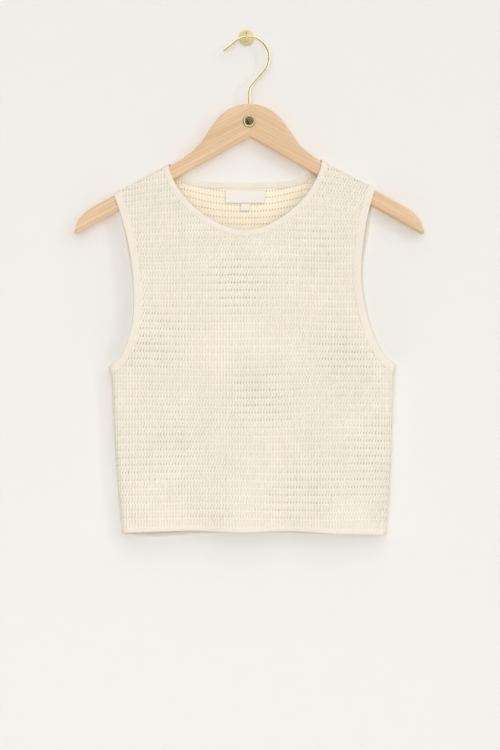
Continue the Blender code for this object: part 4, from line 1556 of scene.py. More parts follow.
@dataclass
class KnitPanel:
    """One openwork panel: a lattice of stitches with real holes, trimmed to the panel's cut."""

    form: TankForm
    side: Side
    outline: np.ndarray
    cell: StitchCell = field(default_factory=StitchCell)
    start_x: float = 0.6
    start_z: float = -625.6
    margin: float = 6.0
    # The back's rows are closer together above upper_z, and flatter past the start of upper
    upper_z: float = -251.0
    upper_height: float = 8.1
    upper: tuple[float, float] = (-275.0, 25.0)
    flatter: float = 0.55
    # How the rows stray: down the straps from a place out, with a softness, then by height
    strap_start: tuple[tuple[float, float], ...] = ((60.0, 200.0), (78.0, 100.0))
    strap_slope: tuple[tuple[float, ...], ...] = (
        (-290.0, -246.0, -202.0, -170.0),
        (0.0, 0.02, 0.10, 0.18),
    )
    back_bend: tuple[tuple[float, ...], ...] = (
        (-300.0, -262.0, -241.0, -222.0, -190.0),
        (0.0, 0.0002, 0.0007, 0.0019, 0.0021),
    )
    sway: Drift = Drift(((0.8, 38.0, 61.0, 0.0), (0.9, 95.0, -47.0, 2.0)))
    # How the bars lean: everywhere, and more so in the right lower corner
    bar_slant: float = 1.15
    slant_drift: Drift = Drift(((0.45, 31.0, 57.0, 0.0), (0.35, 83.0, -39.0, 1.7)))
    corner_slant: float = 1.2
    corner_across: tuple[float, float] = (40.0, 110.0)
    corner_down: tuple[float, float] = (480.0, 90.0)
    # How the holes open on the front and the back, and less or more in some areas
    open_level: tuple[float, float] = (0.5, 0.8)
    open_share: tuple[float, float] = (1.2, 0.5)
    open_drift: Drift = Drift(((0.24, 47.0, -23.0, 0.0), (0.22, 19.0, 71.0, 0.6)))
    open_least: float = 0.2
    beside_closed: float = 0.3
    beside_across: tuple[float, float] = (75.0, 35.0)
    beside_up: tuple[float, float] = (-370.0, 60.0)
    shoulder_open: float = 0.6
    shoulder_up: tuple[float, float] = (-222.0, 40.0)
    back_closed: float = 0.45
    # What is diced: the widths of the holes, the lean of the bars and the stitches' relief
    hole_widths: tuple[float, float] = (0.78, 1.18)
    lean_spread: float = 0.16
    reliefs: tuple[float, float] = (0.85, 1.12)
    solid_gap: float = -0.15
    least_quad: float = 0.02
    seed: int = 7

    def row_heights(self) -> np.ndarray:
        """Places the rows, closer together on the back's upper part.

        Returns:
            The height of each row's foot.
        """
        top = float(self.outline[:, 1].max()) + 2 * self.margin
        heights = [self.start_z]
        while heights[-1] < top:
            tight = self.side is Side.BACK and heights[-1] > self.upper_z
            heights.append(heights[-1] + (self.upper_height if tight else self.cell.height))
        return np.array(heights)

    def arch(self, x: np.ndarray, z: np.ndarray) -> np.ndarray:
        """Finds how far the rows stray from level.

        Args:
            x: Places across.
            z: Heights.

        Returns:
            The distance at each: down the straps, and up from the back's middle.
        """
        out = np.abs(x - self.form.neck_x)
        start, softness = self.strap_start[self.side.column - 1]
        past = out - start
        slope = smooth_through(z, *np.array(self.strap_slope))
        down = slope * (past + np.sqrt(past**2 + softness)) / 2
        if self.side is Side.FRONT:
            return self.sway.at(x, z) - down
        return smooth_through(z, *np.array(self.back_bend)) * np.minimum(out, start) ** 2 - down

    def slant(self, x: np.ndarray, z: np.ndarray) -> np.ndarray:
        """How far the bars lean in each area, in millimetres from foot to head."""
        corner = eased(x, *self.corner_across) * eased(-z, *self.corner_down)
        return self.bar_slant * (1.0 + self.slant_drift.at(x, z)) + self.corner_slant * corner

    def openness(self, x: np.ndarray, z: np.ndarray) -> np.ndarray:
        """Finds how wide the holes open in each area.

        Args:
            x: Places across.
            z: Heights.

        Returns:
            The width at each, as a factor.
        """
        at = self.side.column - 1
        drift = self.open_share[at] * self.open_drift.at(x, z)
        if self.side is Side.BACK:
            return self.open_level[at] - self.back_closed * self._upper(z) + drift
        out = np.abs(x - self.form.neck_x)
        beside = eased(out, *self.beside_across) * eased(z, *self.beside_up)
        top = self.shoulder_open * eased(z, *self.shoulder_up)
        wide = self.open_level[at] + drift - self.beside_closed * beside + top
        return np.maximum(wide, self.open_least)

    def _upper(self, z: np.ndarray) -> np.ndarray:
        """1 at heights on the back's upper part, and 0 below it."""
        return eased(z, *self.upper)

    def lattice(self) -> tuple[np.ndarray, np.ndarray, np.ndarray, np.ndarray]:
        """Lays out the stitches.

        Returns:
            The flat points, how far each stands out, its stitch coordinates, and whether the
            quad up and to the right of each is open, all by row and by column.
        """
        cell, dice = self.cell, np.random.default_rng(self.seed)
        feet = self.row_heights()
        low = self.outline[:, 0].min() - self.margin
        high = self.outline[:, 0].max() + self.margin
        first = math.floor((low - self.start_x) / cell.pitch)
        count = math.ceil((high - self.start_x) / cell.pitch) - first
        sizes = (len(feet) - 1, len(Row), count, len(Column))
        j, b, i, a = np.indices(sizes)
        u, v = np.array(cell.columns)[a], np.array(cell.rows)[b]
        base_x = self.start_x + cell.pitch * (first + i + u)
        row_height = np.diff(feet)[j]
        base_z = feet[j] + row_height * v
        wide = dice.uniform(*self.hole_widths, (len(feet), count + 1))
        wide = np.where(a == Column.LEFT, wide[j, i - 1], wide[j, i])
        half = np.array(cell.hole_half)[b] * self.openness(base_x, base_z) * wide
        before, after = ((a == edge) & (half > 0) for edge in (Column.RIGHT, Column.LEFT))
        u = np.where(after, cell.hole_middle - 1 + half, u)
        u = np.where(before, cell.hole_middle - half, u)
        v = v + np.where(a == Column.GAP, np.array(cell.hole_up)[b], 0)
        tilt = dice.normal(0, self.lean_spread, (len(feet), count))[j, i]
        x = self.start_x + cell.pitch * (first + i + u)
        x = x + np.array(cell.lean)[b] * (self.slant(base_x, base_z) + tilt)
        z = feet[j] + row_height * v
        z = z + self.arch(x, z)
        out = dice.uniform(*self.reliefs, (len(feet), count))[j, i]
        out = np.array(cell.relief)[b, a] * out
        if self.side is Side.BACK:
            out = out * (1 - self.flatter * self._upper(z))
        solid = j == 0
        out = np.where(solid & (a == Column.GAP) & (b > Row.STRAND), self.solid_gap, out)
        opened = (a >= Column.RIGHT) & ((b == Row.FOOT) | (b == Row.HOLE)) & ~solid
        shape = (sizes[0] * sizes[1], sizes[2] * sizes[3])
        points = np.stack([x, z], -1).reshape(*shape, 2)
        stitch = np.stack([i + u, j + v], -1).reshape(*shape, 2)
        return points, out.reshape(shape), stitch, opened.reshape(shape)

    def mesh(self) -> MeshData:
        """Trims the lattice to the cut and hangs it.

        Returns:
            The panel's mesh.
        """
        points, out, stitch, opened = self.lattice()
        height, width = out.shape
        flat, out, stitch = points.reshape(-1, 2), out.ravel(), stitch.reshape(-1, 2)
        inside = inside_outline(flat, self.outline)
        row, column = np.mgrid[0 : height - 1, 0 : width - 1]
        corner = row * width + column
        quads = np.stack([corner, corner + 1, corner + width + 1, corner + width], -1)
        quads = quads[~opened[:-1, :-1]]
        touched = inside[quads].sum(1)
        quads = quads[touched > 0]
        edge = np.unique(quads[~inside[quads]])
        flat[edge] = nearest_on_outline(flat[edge], self.outline)
        out[edge] = 0.0
        a, b, c, d = (flat[quads[:, k]] for k in range(4))
        (x1, z1), (x2, z2) = (c - a).T, (d - b).T
        quads = quads[x1 * z2 - z1 * x2 > self.least_quad]
        used, numbered = np.unique(quads, return_inverse=True)
        quads = numbered.reshape(-1, 4)
        hung = self.form.hang(self.side, flat[used], out[used])
        if self.side is Side.BACK:
            quads = quads[:, ::-1]
        corners = stitch[used][quads].reshape(-1, 2)
        return MeshData(hung, [tuple(q) for q in quads.tolist()], corners)

    def flat_size(self) -> tuple[tuple[float, float], float]:
        """Measures the cut.

        Returns:
            Its width and length in metres, and its area in square metres.
        """
        span = (self.outline.max(0) - self.outline.min(0)) * MM
        x, z = self.outline.T
        area = abs(float((x * np.roll(z, -1) - z * np.roll(x, -1)).sum())) / 2
        return (float(span[0]), float(span[1])), area * MM * MM


@dataclass
class Garment:
    """The tank top: two openwork panels, the bands, the seams and the labels."""

    form: TankForm
    palette: Palette
    band_profile: tuple[tuple[float, float], ...] = (
        (0.0, 0.0),
        (0.02, 0.55),
        (0.07, 0.90),
        (0.16, 1.08),
        (0.35, 1.15),
        (0.60, 1.12),
        (0.78, 1.00),
        (0.87, 0.72),
        (0.92, 0.88),
        (0.98, 0.74),
        (1.02, 0.30),
    )
    hem_profile: tuple[tuple[float, float, float], ...] = (
        (0.0, 0.0, 0.0),
        (0.02, 0.70, 0.0),
        (0.08, 1.10, 0.0),
        (0.22, 1.26, 0.0),
        (0.38, 1.22, 0.0),
        (0.47, 0.95, 0.0),
        (0.52, 0.78, 0.6),
        (0.62, 0.80, 1.0),
        (0.80, 0.80, 1.0),
        (0.94, 0.78, 1.0),
        (1.00, 0.40, 0.6),
    )
    label_size: tuple[float, float] = (51.0, 16.0)
    label_top: float = -195.6
    tab_size: tuple[float, float] = (11.5, 9.6)
    label_thickness: float = 0.5
    label_pressed: float = 0.8
    label_puff: float = 0.22
    puff_over: float = 2.5
    # How deep the label's sewing sinks it, how far in from its edge, and how wide
    sewing: tuple[float, float, float] = (0.1, 1.4, 0.4)
    tab_gap: float = 0.3
    # The relief of the panels' last bars on the hem, by Column, and their place in the stitch
    hem_bars: tuple[float, ...] = (0.0, 0.40, 0.0, -0.25)
    hem_columns: tuple[int, int] = (-60, 64)
    hem_stitch: tuple[float, float] = (0.35, 0.5)
    seam_radius: float = 0.75
    seam_pitch: float = 3.2
    seam_sides: int = 8
    seam_swell: tuple[float, float] = (0.82, 0.18)
    # How far the side and the shoulder seams' middles lie outside the cloth's
    seam_out: tuple[float, float] = (0.1, 0.35)
    # How far a shoulder seam runs in under the neck band and the armhole band
    seam_under: tuple[float, float] = (1.0, 2.0)
    seam_foot: float = -621.0

    def build(self) -> list[bpy.types.Object]:
        """Returns:
            The pieces.
        """
        edges = EdgeMaker(self.form)
        neck = edges.neck()
        arms = {hole.hand: edges.armhole(hole) for hole in self.form.armholes}
        cut = PanelCut(self.form, edges, neck, arms)
        trims = [self._band("neck_band", neck, self.form.neck_band_width)]
        for hand, loop in arms.items():
            trims.append(self._band(f"armhole_band_{hand.word}", loop, self.form.arm_band_width))
        panels = {side: KnitPanel(self.form, side, cut.outline(side)) for side in Side}
        trims.append(dress(self._hem(edges, panels[Side.FRONT]), "cream_band", "hem_band"))
        trims += self._seams()
        labels = self._labels()
        made = []
        for side, extra in ((Side.FRONT, trims), (Side.BACK, labels)):
            name = side.name.lower() + "_panel"
            piece = panels[side].mesh().to_object(name + "_knit", self.palette.knit)
            dress(piece, "cream_knit", name)
            flat, area = panels[side].flat_size()
            LOG.info("%s cut %.3f x %.3f m, %.4f m2", name, *flat, area)
            made.append(piece)
        return made + trims + labels

    def _skin(self, loop: EdgeLoop, width: float, shares: np.ndarray, outs: np.ndarray) -> MeshData:
        """Sweeps a closed section along an edge.

        Args:
            loop: The edge.
            width: The band's width.
            shares: Each section point's place across the band, from 0 to 1.
            outs: How far it stands off the middle of the cloth, by station and by point.

        Returns:
            The closed skin.
        """
        points = np.array([point for _, point in loop.stations])
        ways = np.array(loop.inward)
        flat = points[:, None] + (shares * width)[None, :, None] * ways[:, None]
        rings = np.empty((*flat.shape[:2], 3))
        for side in Side:
            own = np.array([s is side for s, _ in loop.stations])
            rings[own] = self.form.hang(side, flat[own], outs[own])
        middle = rings.mean(1)
        steps = np.linalg.norm(np.roll(middle, -1, axis=0) - middle, axis=1)
        along = np.concatenate([[0.0], np.cumsum(steps)])
        section = np.stack([shares * width, outs.mean(0)], -1)
        round_it = np.linalg.norm(np.roll(section, -1, axis=0) - section, axis=1)
        return swept(rings, along, np.concatenate([[0.0], np.cumsum(round_it)]), True)

    def _band(self, name: str, loop: EdgeLoop, width: float) -> bpy.types.Object:
        """Makes a folded band of fine knitting, with the groove and ridge where it is linked on.

        Args:
            name: The solid that it stands for.
            loop: Its free edge.
            width: Its width.

        Returns:
            The dressed piece.
        """
        shares, outs = np.array(self.band_profile).T
        shares = np.concatenate([shares, shares[:0:-1]])
        outs = np.concatenate([outs, -outs[:0:-1]])
        rows = np.broadcast_to(outs, (len(loop.stations), len(outs)))
        skin = self._skin(loop, width, shares, rows).facing_out()
        return dress(skin.to_object(name + "_trim", self.palette.band), "cream_band", name)

    def _hem(self, edges: EdgeMaker, panel: KnitPanel) -> bpy.types.Object:
        """Makes the hem: a rolled strip, with the feet of the panels' last bars above it.

        Args:
            edges: Draws its edge.
            panel: The front panel, whose stitches it carries on.

        Returns:
            The piece, in the trim's finish below and the panels' above.
        """
        cell, columns = panel.cell, np.array(panel.cell.columns)
        order = np.arange(*self.hem_columns)[:, None]
        loop = edges.hem((panel.start_x + cell.pitch * (order + columns)).ravel())
        turns = np.array([(point[0] - panel.start_x) / cell.pitch for _, point in loop.stations])
        nearest = np.abs(columns - (turns % 1.0)[:, None]).argmin(1)
        lift = np.array(self.hem_bars)[nearest]
        profile = np.array(self.hem_profile)
        outer = profile[None, :, 1] + lift[:, None] * profile[None, :, 2]
        inner = np.broadcast_to(-profile[:0:-1, 1], (len(lift), len(profile) - 1))
        shares = np.concatenate([profile[:, 0], profile[:0:-1, 0]])
        outs = np.concatenate([outer, inner], 1)
        skin = self._skin(loop, self.form.hem_band_height, shares, outs)
        count, sides = outs.shape
        barred = np.flatnonzero(profile[:-1, 2] + profile[1:, 2] > 1.0)
        foot, share = self.hem_stitch
        here, there = turns[:, None], np.roll(turns, -1)[:, None]
        low, high = (foot + share * profile[barred + k, 0] + 0 * here for k in (0, 1))
        here, there = here + 0 * low, there + 0 * low
        stitch = np.stack([here, low, here, high, there, high, there, low], -1)
        corners = skin.corners.reshape(count, sides, 4, 2)
        corners[:, barred] = stitch.reshape(count, len(barred), 4, 2)
        hem = skin.facing_out().to_object("hem_band_trim", self.palette.band)
        hem.data.materials.append(self.palette.knit)
        finish = np.zeros((count, sides), int)
        finish[:, barred] = 1
        hem.data.polygons.foreach_set("material_index", finish.ravel())
        return hem

    def _seams(self) -> list[bpy.types.Object]:
        """Makes the four linked seams, each a low ridge of stitches on the outside.

        Returns:
            The pieces: each side's side seam, then its shoulder seam.
        """
        form, made = self.form, []
        for hand in Hand:
            top = form.armhole_of(hand).underarm_z - form.arm_band_width
            heights = np.arange(self.seam_foot, top, self.seam_pitch / 5)
            flat = np.stack([form.seam_across(heights, hand), heights], -1)
            lines = {"side": flat, "shoulder": self._shoulder_line(hand)}
            for (word, line), out in zip(lines.items(), self.seam_out):
                made.append(self._seam(f"{word}_seam_{hand.word}", line, out))
        return made

    def _shoulder_line(self, hand: Hand) -> np.ndarray:
        """Draws the seam in front of one shoulder's ridge.

        Args:
            hand: The shoulder's side.

        Returns:
            Its flat points, from the neck band to the armhole band.
        """
        form = self.form
        (point,), (run,), (normal,) = form.ridge(np.array([form.hanger_x + hand.value]))
        neck = form.neck_x + hand.value * (form.neck_half_width + form.neck_band_width)
        ends = (neck, form.armhole_of(hand).shoulder_x)
        start, end = (hand.value * (x - point[0]) / math.cos(form.arm_slope) for x in ends)
        first, last = start - self.seam_under[0], end - form.arm_band_width + self.seam_under[1]
        along = np.arange(first, last, self.seam_pitch / 5)
        return point - form.seam_forward * normal + along[:, None] * run

    def _seam(self, name: str, flat: np.ndarray, out: float) -> bpy.types.Object:
        """Makes one linked seam, swelling at each stitch.

        Args:
            name: Its name.
            flat: The flat points that it runs along on the front.
            out: How far its middle lies outside the cloth's.

        Returns:
            The dressed piece.
        """
        route = self.form.hang(Side.FRONT, flat, out)
        level, wave = self.seam_swell
        swell = level + wave * np.cos(2 * math.pi * lengths_along(route) / self.seam_pitch)
        skin = rod(route, self.seam_radius * swell, (0.0, 1.0, 0.0), self.seam_sides)
        return dress(skin.to_object(name, self.palette.band), "cream_band")

    def _labels(self) -> list[bpy.types.Object]:
        """Makes the bare label and the bare size tab under it, inside the back of the neck.

        Returns:
            The two pieces.
        """
        made = []
        tab_top = self.label_top - self.label_size[1] - self.tab_gap
        for name, size, top, quads in (
            ("neck_label", self.label_size, self.label_top, (50, 16)),
            ("size_tab", self.tab_size, tab_top, (12, 10)),
        ):
            piece = self._patch(top, *size, *quads).to_object(name + "_woven", self.palette.label)
            made.append(dress(piece, "white_label", name))
        return made

    def _patch(self, top: float, wide: float, tall: float, columns: int, rows: int) -> MeshData:
        """Makes a thin woven patch on the inside of the back, its sewn edges drawn down a little.

        Args:
            top: Its top edge.
            wide: Its width.
            tall: Its height.
            columns: Quads across it.
            rows: Quads down it.

        Returns:
            Its closed skin.
        """
        s, t = np.meshgrid(np.linspace(-0.5, 0.5, columns + 1), np.linspace(0, 1, rows + 1))
        flat = np.stack([self.form.neck_x + wide * s, top - tall * t], -1)
        rim = np.minimum((0.5 - np.abs(s)) * wide, np.minimum(t, 1 - t) * tall)
        sunk, inset, broad = self.sewing
        puff = self.label_puff * eased(rim / self.puff_over)
        puff = puff - sunk * np.exp(-(((rim - inset) / broad) ** 2))
        base = -self.form.wall / 2 - self.tab_gap
        near = self.form.hang(Side.BACK, flat, base)
        pressed = self.label_thickness * self.label_pressed
        far = self.form.hang(Side.BACK, flat, base - pressed - puff)
        grid = np.arange(s.size).reshape(s.shape)
        count, ahead = s.size, grid[:, 1:]
        quads = np.stack([grid[:-1, :-1], ahead[:-1], ahead[1:], grid[1:, :-1]], -1).reshape(-1, 4)
        ring = np.concatenate([grid[0, :-1], grid[:-1, -1], grid[-1, :0:-1], grid[:0:-1, 0]])
        after = np.roll(ring, -1)
        sides = np.stack([ring, after, after + count, ring + count], -1)
        faces = np.concatenate([quads[:, ::-1], quads + count, sides])
        points = np.concatenate([near.reshape(-1, 3), far.reshape(-1, 3)])
        stitch = np.tile(np.stack([wide * s, tall * t], -1).reshape(-1, 2), (2, 1))[faces]
        skin = MeshData(points, [tuple(f) for f in faces.tolist()], stitch.reshape(-1, 2))
        return skin.facing_out()


@dataclass
class Hanger:
    """The wooden hanger with its wire hook and its plain round badge."""

    form: TankForm
    palette: Palette
    width: float = 445.4
    arm_straight_to: float = 168.2
    underside_apex: float = -128.5
    underside_slope: float = 0.5624
    tip_length: float = 3.7
    tip_lift: float = 3.2
    # Where the wood's sections stand closer: round the arm's bend, and towards its tip
    closer_from: tuple[float, float] = (176.0, 216.0)
    corner_share: float = 0.98
    # Distance out from the middle, and the height of the top there. Two stand on the straight arm
    top_line: tuple[tuple[float, float], ...] = (
        (0.0, -85.4),
        (18.0, -88.3),
        (28.6, -94.0),
        (40.2, -104.2),
        (51.0, -118.4),
        (61.4, -133.8),
        (76.1, -148.2),
        (98.1, -162.7),
        (133.0, TankForm.arm_start_z - 34.9 * math.tan(TankForm.arm_slope)),
        (168.2, TankForm.arm_start_z - 70.1 * math.tan(TankForm.arm_slope)),
        (184.0, -208.6),
        (199.0, -217.0),
        (212.0, -227.0),
        (219.3, -237.0),
        (222.7, -246.5),
    )
    wire_radius: float = 1.8
    hook_radius: float = 26.2
    hook_centre: tuple[float, float] = (2.4, -26.0)
    hook_from: float = -42.0
    hook_to: float = 128.0
    hook_tip: float = 21.0
    wire_bend: float = -64.5
    bend_below: float = 5.0
    bend_corner: tuple[float, float] = (0.25, 0.2)
    bend_share: float = 0.3
    wire_in_wood: float = 14.0
    wire_sides: int = 20
    badge_radius: float = 7.9
    badge_z: float = -107.8
    badge_steps: int = 64
    # How far in from its edge the badge's bright rim begins and ends
    badge_rim: tuple[float, float] = (0.55, 2.4)

    def build(self) -> list[bpy.types.Object]:
        """Builds the wood, the wire and the badge.

        Returns:
            The pieces.
        """
        wood = self._wood().to_object("hanger_wood_beech", self.palette.wood)
        wire = self._wire().to_object("hanger_hook_wire", self.palette.brass)
        made = [dress(wood, "beech", "hanger_wood"), dress(wire, "brass", "hanger_hook")]
        badge = self._badge().to_object("hanger_badge_rivet", self.palette.dark_brass)
        badge.data.materials.append(self.palette.brass)
        begins, ends = self.badge_rim
        for face in badge.data.polygons:
            x, _, z = face.center / MM
            inset = self.badge_radius - math.hypot(x - self.form.hanger_x, z - self.badge_z)
            face.material_index = int(begins < inset < ends)
        return made + [dress(badge, "dark_brass", "hanger_badge")]

    def _top(self, out: float) -> float:
        """Finds the height of the wood's top.

        Args:
            out: A distance out from the middle.

        Returns:
            The height there.
        """
        form = self.form
        if form.arm_start <= out <= self.arm_straight_to:
            return form.arm_start_z - (out - form.arm_start) * math.tan(form.arm_slope)
        return float(smooth_through(out, *np.array(self.top_line).T))

    def _wood(self) -> MeshData:
        """Lofts the wood from tip to tip.

        Returns:
            Its closed skin.
        """
        half, (bend, tip) = self.width / 2, self.closer_from
        outs = [np.arange(0, bend, 2.5), np.arange(bend, tip, 2.0), np.linspace(tip, half, 14)]
        outs = np.concatenate(outs)
        stations = np.concatenate([-outs[:0:-1], outs])
        upright = self.form.wood_corner / math.cos(self.form.arm_slope)
        rings = []
        for out in stations:
            low = self.underside_apex - self.underside_slope * abs(out)
            low += self.tip_lift * max(0.0, 1 - (half - abs(out)) / self.tip_length)
            section = self._section(upright, low, self._top(abs(out)))
            x = np.full(len(section), self.form.hanger_x + out)
            rings.append(np.stack([x, self.form.hanger_y + section[:, 0], section[:, 1]], -1))
        rings = np.array(rings)
        sides = rings.shape[1]
        return swept(rings, stations, np.arange(sides + 1.0), False)

    def _section(self, corner_z: float, low: float, high: float, steps: int = 8) -> np.ndarray:
        """Draws the wood's rounded section.

        Args:
            corner_z: The height of its rounded corners.
            low: The height of its bottom.
            high: The height of its top.
            steps: How many steps each corner has.

        Returns:
            Its (Y, Z) points.
        """
        corner_y = self.form.wood_corner
        corner_z = min(corner_z, (high - low) / 2 * self.corner_share)
        y, top, bottom = self.form.wood_thickness / 2 - corner_y, high - corner_z, low + corner_z
        centres = ((y, top), (-y, top), (-y, bottom), (y, bottom))
        points = []
        for turn, (y, z) in enumerate(centres):
            for angle in math.pi / 2 * (turn + np.arange(steps + 1) / steps):
                points.append((y + corner_y * math.cos(angle), z + corner_z * math.sin(angle)))
        return np.array(points)

    def _wire(self) -> MeshData:
        """Bends the wire: up out of the wood, over to the hook's arc, round it and down its tip.

        Returns:
            Its skin.
        """
        middle, top = self.form.hanger_x, self.top_line[0][1]
        rise = np.linspace(top - self.wire_in_wood, self.wire_bend - self.bend_below, 12)
        points = [(middle, z) for z in rise]
        angles = np.radians(np.linspace(self.hook_from, self.hook_to, 73))
        arc = np.stack([np.cos(angles), np.sin(angles)], -1) * self.hook_radius + self.hook_centre
        corner, first = np.array([middle, self.wire_bend]) + self.bend_corner, arc[0]
        start, leg = np.array(points[-1]), corner + (first - corner) * self.bend_share
        for t in np.linspace(0, 1, 11)[1:]:
            points.append(tuple((1 - t) ** 2 * start + 2 * t * (1 - t) * corner + t**2 * leg))
        points += [tuple(leg + (first - leg) * t) for t in np.linspace(0, 1, 9)[1:-1]]
        points += [tuple(p) for p in arc]
        heading = math.radians(self.hook_to + 90)
        way = np.array([math.cos(heading), math.sin(heading)])
        points += [tuple(arc[-1] + way * far) for far in np.linspace(0, self.hook_tip, 9)[1:]]
        route = np.array([(x, self.form.hanger_y, z) for x, z in points])
        route, radii = rounded_ends(route, self.wire_radius)
        return rod(route, radii, (0.0, 1.0, 0.0), self.wire_sides)

    def _badge(self) -> MeshData:
        """Turns the round rivet: a raised rolled rim round a shallow domed centre.

        Returns:
            Its closed skin.
        """
        face = self.form.hanger_y - self.form.wood_thickness / 2 - 0.3
        radius = self.badge_radius
        profile = [(0.0, face), (radius - 0.2, face), (radius, face - 0.2), (radius, face - 0.7)]
        profile += [
            (radius - 1.1 + 1.1 * math.cos(a), face - 0.7 - 0.8 * math.sin(a))
            for a in np.linspace(0.2, math.pi - 0.2, 9)
        ]
        dish = ((2.5, 0.45), (3.4, 0.55), (5.5, 0.85), (radius, 1.0))
        profile += [(radius - inset, face - lift) for inset, lift in dish]
        return turned(profile, (self.form.hanger_x, self.badge_z), self.badge_steps)


@dataclass
class WallHook:
    """The small brass wall hook: its plate, its prong and its screw."""

    form: TankForm
    palette: Palette
    plate_radius: float = 10.4
    plate_thickness: float = 2.4
    prong_radius: float = 1.5
    prong_bend: float = 3.4
    prong_rise: float = 3.2
    # Its gaps under the wire and in front of it
    prong_under: float = 0.4
    prong_before: float = 1.4
    prong_sides: int = 20
    screw_radius: float = 2.2
    screw_z: float = 6.6
    slot_half: float = 0.3
    slot_depth: float = 0.45
    turned_steps: int = 72

    def build(self) -> list[bpy.types.Object]:
        """Builds the plate, the prong and the screw.

        Returns:
            The pieces.
        """
        made = []
        for skin, name, slot, node in (
            (self._plate(), "wall_plate_disc", "brass", "wall_plate"),
            (self._prong(), "wall_prong_rod", "brass", "wall_prong"),
            (self._screw(), "wall_screw_head", "dark_brass", "wall_screw"),
        ):
            made.append(dress(skin.to_object(name, self.palette.satin_brass), slot, node))
        screw = made[-1].data
        screw.materials.append(self.palette.dark_brass)
        # Painted shade: the slot's front faces take the dark aged brass.
        for face in screw.polygons:
            in_shaded_slot = abs(face.center.x) < self.slot_half * MM
            face.material_index = int(in_shaded_slot and face.normal.y < -0.2)
        return made

    def _plate(self) -> MeshData:
        """Turns the round plate, flat at the back and softly stepped in front.

        Returns:
            Its closed skin.
        """
        radius, deep = self.plate_radius, -self.plate_thickness
        steps = ((radius, 0.0), (0.2, 0.0), (0.0, -0.2), (0.0, -0.9), (0.25, -1.25), (0.8, -1.85))
        steps += ((1.3, deep + 0.12), (1.8, deep), (radius, deep))
        profile = [(radius - inset, depth) for inset, depth in steps]
        return turned(profile, (0.0, 0.0), self.turned_steps)

    def _prong(self) -> MeshData:
        """Bends the prong: out of the plate under the wire, then up in front of it.

        Returns:
            Its skin.
        """
        thick, bend = self.prong_radius, self.prong_bend
        wire_bottom = Hanger.hook_centre[1] + Hanger.hook_radius - Hanger.wire_radius
        z = wire_bottom - self.prong_under - thick
        front = self.form.hanger_y - Hanger.wire_radius - thick - self.prong_before
        points = [(0.0, y, z) for y in np.linspace(-self.plate_thickness - 0.1, front + bend, 12)]
        for angle in np.linspace(0, math.pi / 2, 12)[1:]:
            y = front + bend * (1 - math.sin(angle))
            points.append((0.0, y, z + bend * (1 - math.cos(angle))))
        points += [(0.0, front, z + bend + far) for far in np.linspace(0, self.prong_rise, 5)[1:]]
        route, radii = rounded_ends(np.array(points), thick)
        return rod(route, radii, (1.0, 0.0, 0.0), self.prong_sides)

    def _screw(self) -> MeshData:
        """Turns the screw's head, low and domed, and sinks its slot.

        Returns:
            Its closed skin.
        """
        seat = -self.plate_thickness - 0.05
        radius, rim, dome = self.screw_radius, seat - 0.35, 0.8
        angles = np.arange(0.15, 1.5, 0.15)
        profile = [(0.0, seat), (radius, seat), (radius, rim)]
        profile += [(radius * math.cos(a), rim - dome * math.sin(a)) for a in angles]
        profile.append((0.0, rim - dome))
        skin = turned(profile, (0.0, self.screw_z), self.turned_steps)
        slot = np.abs(skin.points[:, 0]) < self.slot_half
        front = skin.points[:, 1] < seat - 0.4
        skin.points[:, 1] += np.where(slot & front, self.slot_depth, 0.0)
        return skin


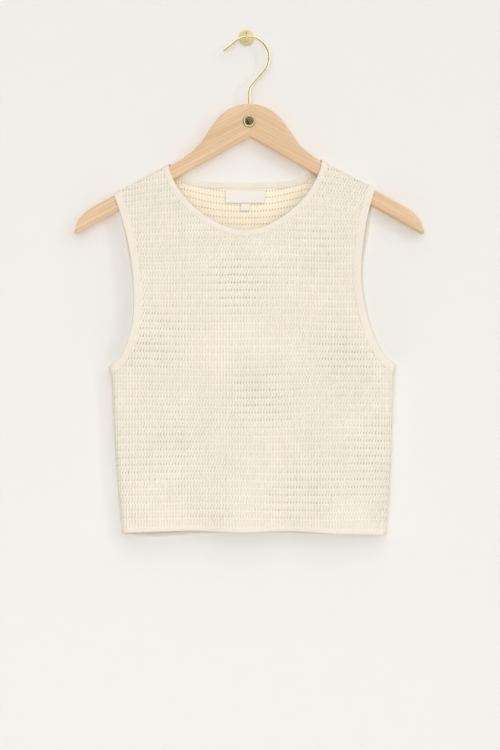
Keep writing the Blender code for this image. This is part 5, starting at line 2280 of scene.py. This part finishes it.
@dataclass
class Studio:
    """The pale wall and floor, the soft light and the camera."""

    camera_at: tuple[float, float, float] = (0.0043, -4.7955, -0.431)
    lens: float = 180.0
    sensor: float = 36.0
    floor_z: float = -1.7
    room_light: float = 0.47
    room_side: Colour = (1.0, 0.99, 0.97)
    wall_side: Colour = (1.9, 1.86, 1.78)
    # The way that the dark card lies in, and the cards' colours
    card_way: Triple = (-0.42, -0.84, -0.34)
    bright_card: Colour = (2.7, 2.66, 2.55)
    dark_card: Colour = (0.42, 0.32, 0.21)
    # Name, the way it comes from, how wide it looks in degrees, watts a square metre
    daylight: tuple[tuple[str, Triple, float, float], ...] = (
        ("soft_key", (0.14, -0.84, 0.50), 66.0, 1.0),
        ("side_window", (0.70, -0.68, 0.20), 8.0, 0.24),
        ("soft_front", (-0.07, -1.0, 0.03), 24.0, 0.66),
    )
    # Name, place, aim, width and height, watts
    lamps: tuple[tuple[str, Triple, Triple, float, float], ...] = (
        ("front_fill", (-0.15, -1.0, -0.98), (-0.06, 0.0, -0.60), 0.8, 0.3),
        ("wall_glow", (0.3, 2.2, 0.2), (0.0, 0.0, -0.38), 2.0, 12.0),
    )

    def build(self) -> None:
        """Builds the whole studio."""
        wall = self._sheet("studio_wall", 5.0, (0.0, 0.0006, 0.3), (math.pi / 2, 0.0, 0.0))
        floor = self._sheet("studio_floor", 6.0, (0.0, -2.0, self.floor_z), (0.0, 0.0, 0.0))
        wall.data.materials.append(WallPaint().material())
        floor.data.materials.append(FloorPaint().material())
        wall.visible_shadow = False
        wall.visible_diffuse = False
        wall.visible_glossy = False
        self._world()
        for name, come_from, angle, power in self.daylight:
            sun = bpy.data.lights.new(name, "SUN")
            sun.angle, sun.energy = math.radians(angle), power
            self._hung_light(sun, Vector(come_from) * 3.0, -Vector(come_from))
        for name, at, aim, size, power in self.lamps:
            lamp = bpy.data.lights.new(name, "AREA")
            lamp.shape, lamp.size, lamp.energy = "SQUARE", size, power
            self._hung_light(lamp, at, Vector(aim) - Vector(at)).visible_camera = False
        self._camera()

    def _sheet(self, name: str, size: float, at: Triple, turn: Triple) -> bpy.types.Object:
        """Makes a large flat stage sheet.

        Args:
            name: Its name.
            size: Its width and length.
            at: Its middle.
            turn: How it is turned about each axis.

        Returns:
            The sheet.
        """
        corners = [(-1, -1), (1, -1), (1, 1), (-1, 1)]
        mesh = bpy.data.meshes.new(name)
        mesh.from_pydata([(size / 2 * x, size / 2 * y, 0) for x, y in corners], [], [range(4)])
        made = placed(name, mesh)
        made.location, made.rotation_euler = at, turn
        return made

    def _world(self) -> None:
        """Even light, stronger from behind the wall, and cards for metal to mirror."""
        world = bpy.data.worlds.new("soft room")
        world.use_nodes = True
        bpy.context.scene.world = world
        w = Wiring(world.node_tree)
        background = world.node_tree.nodes["Background"]
        way = w.parts(w.node("ShaderNodeTexCoord").outputs["Generated"])
        glossy = w.node("ShaderNodeLightPath").outputs["Is Glossy Ray"]
        right, back, up = (w.times(way[axis], share) for axis, share in enumerate(self.card_way))
        facing = w.plus(back, w.plus(right, up))
        cards = w.blend(w.spread(facing, 0.62, 0.82), self.bright_card, self.dark_card)
        even = w.blend(w.spread(way[1], -0.1, 0.4), self.room_side, self.wall_side)
        w.feed(background, {"Color": w.blend(glossy, even, cards), "Strength": self.room_light})

    def _hung_light(self, light: bpy.types.Light, at: Vector, way: Vector) -> bpy.types.Object:
        """Hangs a light, which metal doesn't mirror.

        Args:
            light: The light.
            at: Where it hangs.
            way: The way it shines.

        Returns:
            Its object.
        """
        made = placed(light.name, light)
        made.location, made.rotation_euler = at, way.to_track_quat("-Z", "Y").to_euler()
        made.visible_glossy = False
        return made

    def _camera(self) -> None:
        """A long lens, level and square on to the wall."""
        data = bpy.data.cameras.new("camera")
        data.lens, data.sensor_width = self.lens, self.sensor
        made = placed("camera", data)
        made.location, made.rotation_euler = self.camera_at, (math.pi / 2, 0.0, 0.0)
        bpy.context.scene.camera = made
        bpy.context.scene.view_settings.view_transform = "Standard"


def main() -> None:
    """Builds the studio, the garment, the hanger and the wall hook."""
    logging.basicConfig(level=logging.INFO, format="%(message)s")
    form = TankForm()
    palette = Palette.mixed(form)
    Studio().build()
    for assembly in (Garment(form, palette), Hanger(form, palette), WallHook(form, palette)):
        made = assembly.build()
        LOG.info("%s: %d pieces", type(assembly).__name__, len(made))


if __name__ == "__main__":
    main()
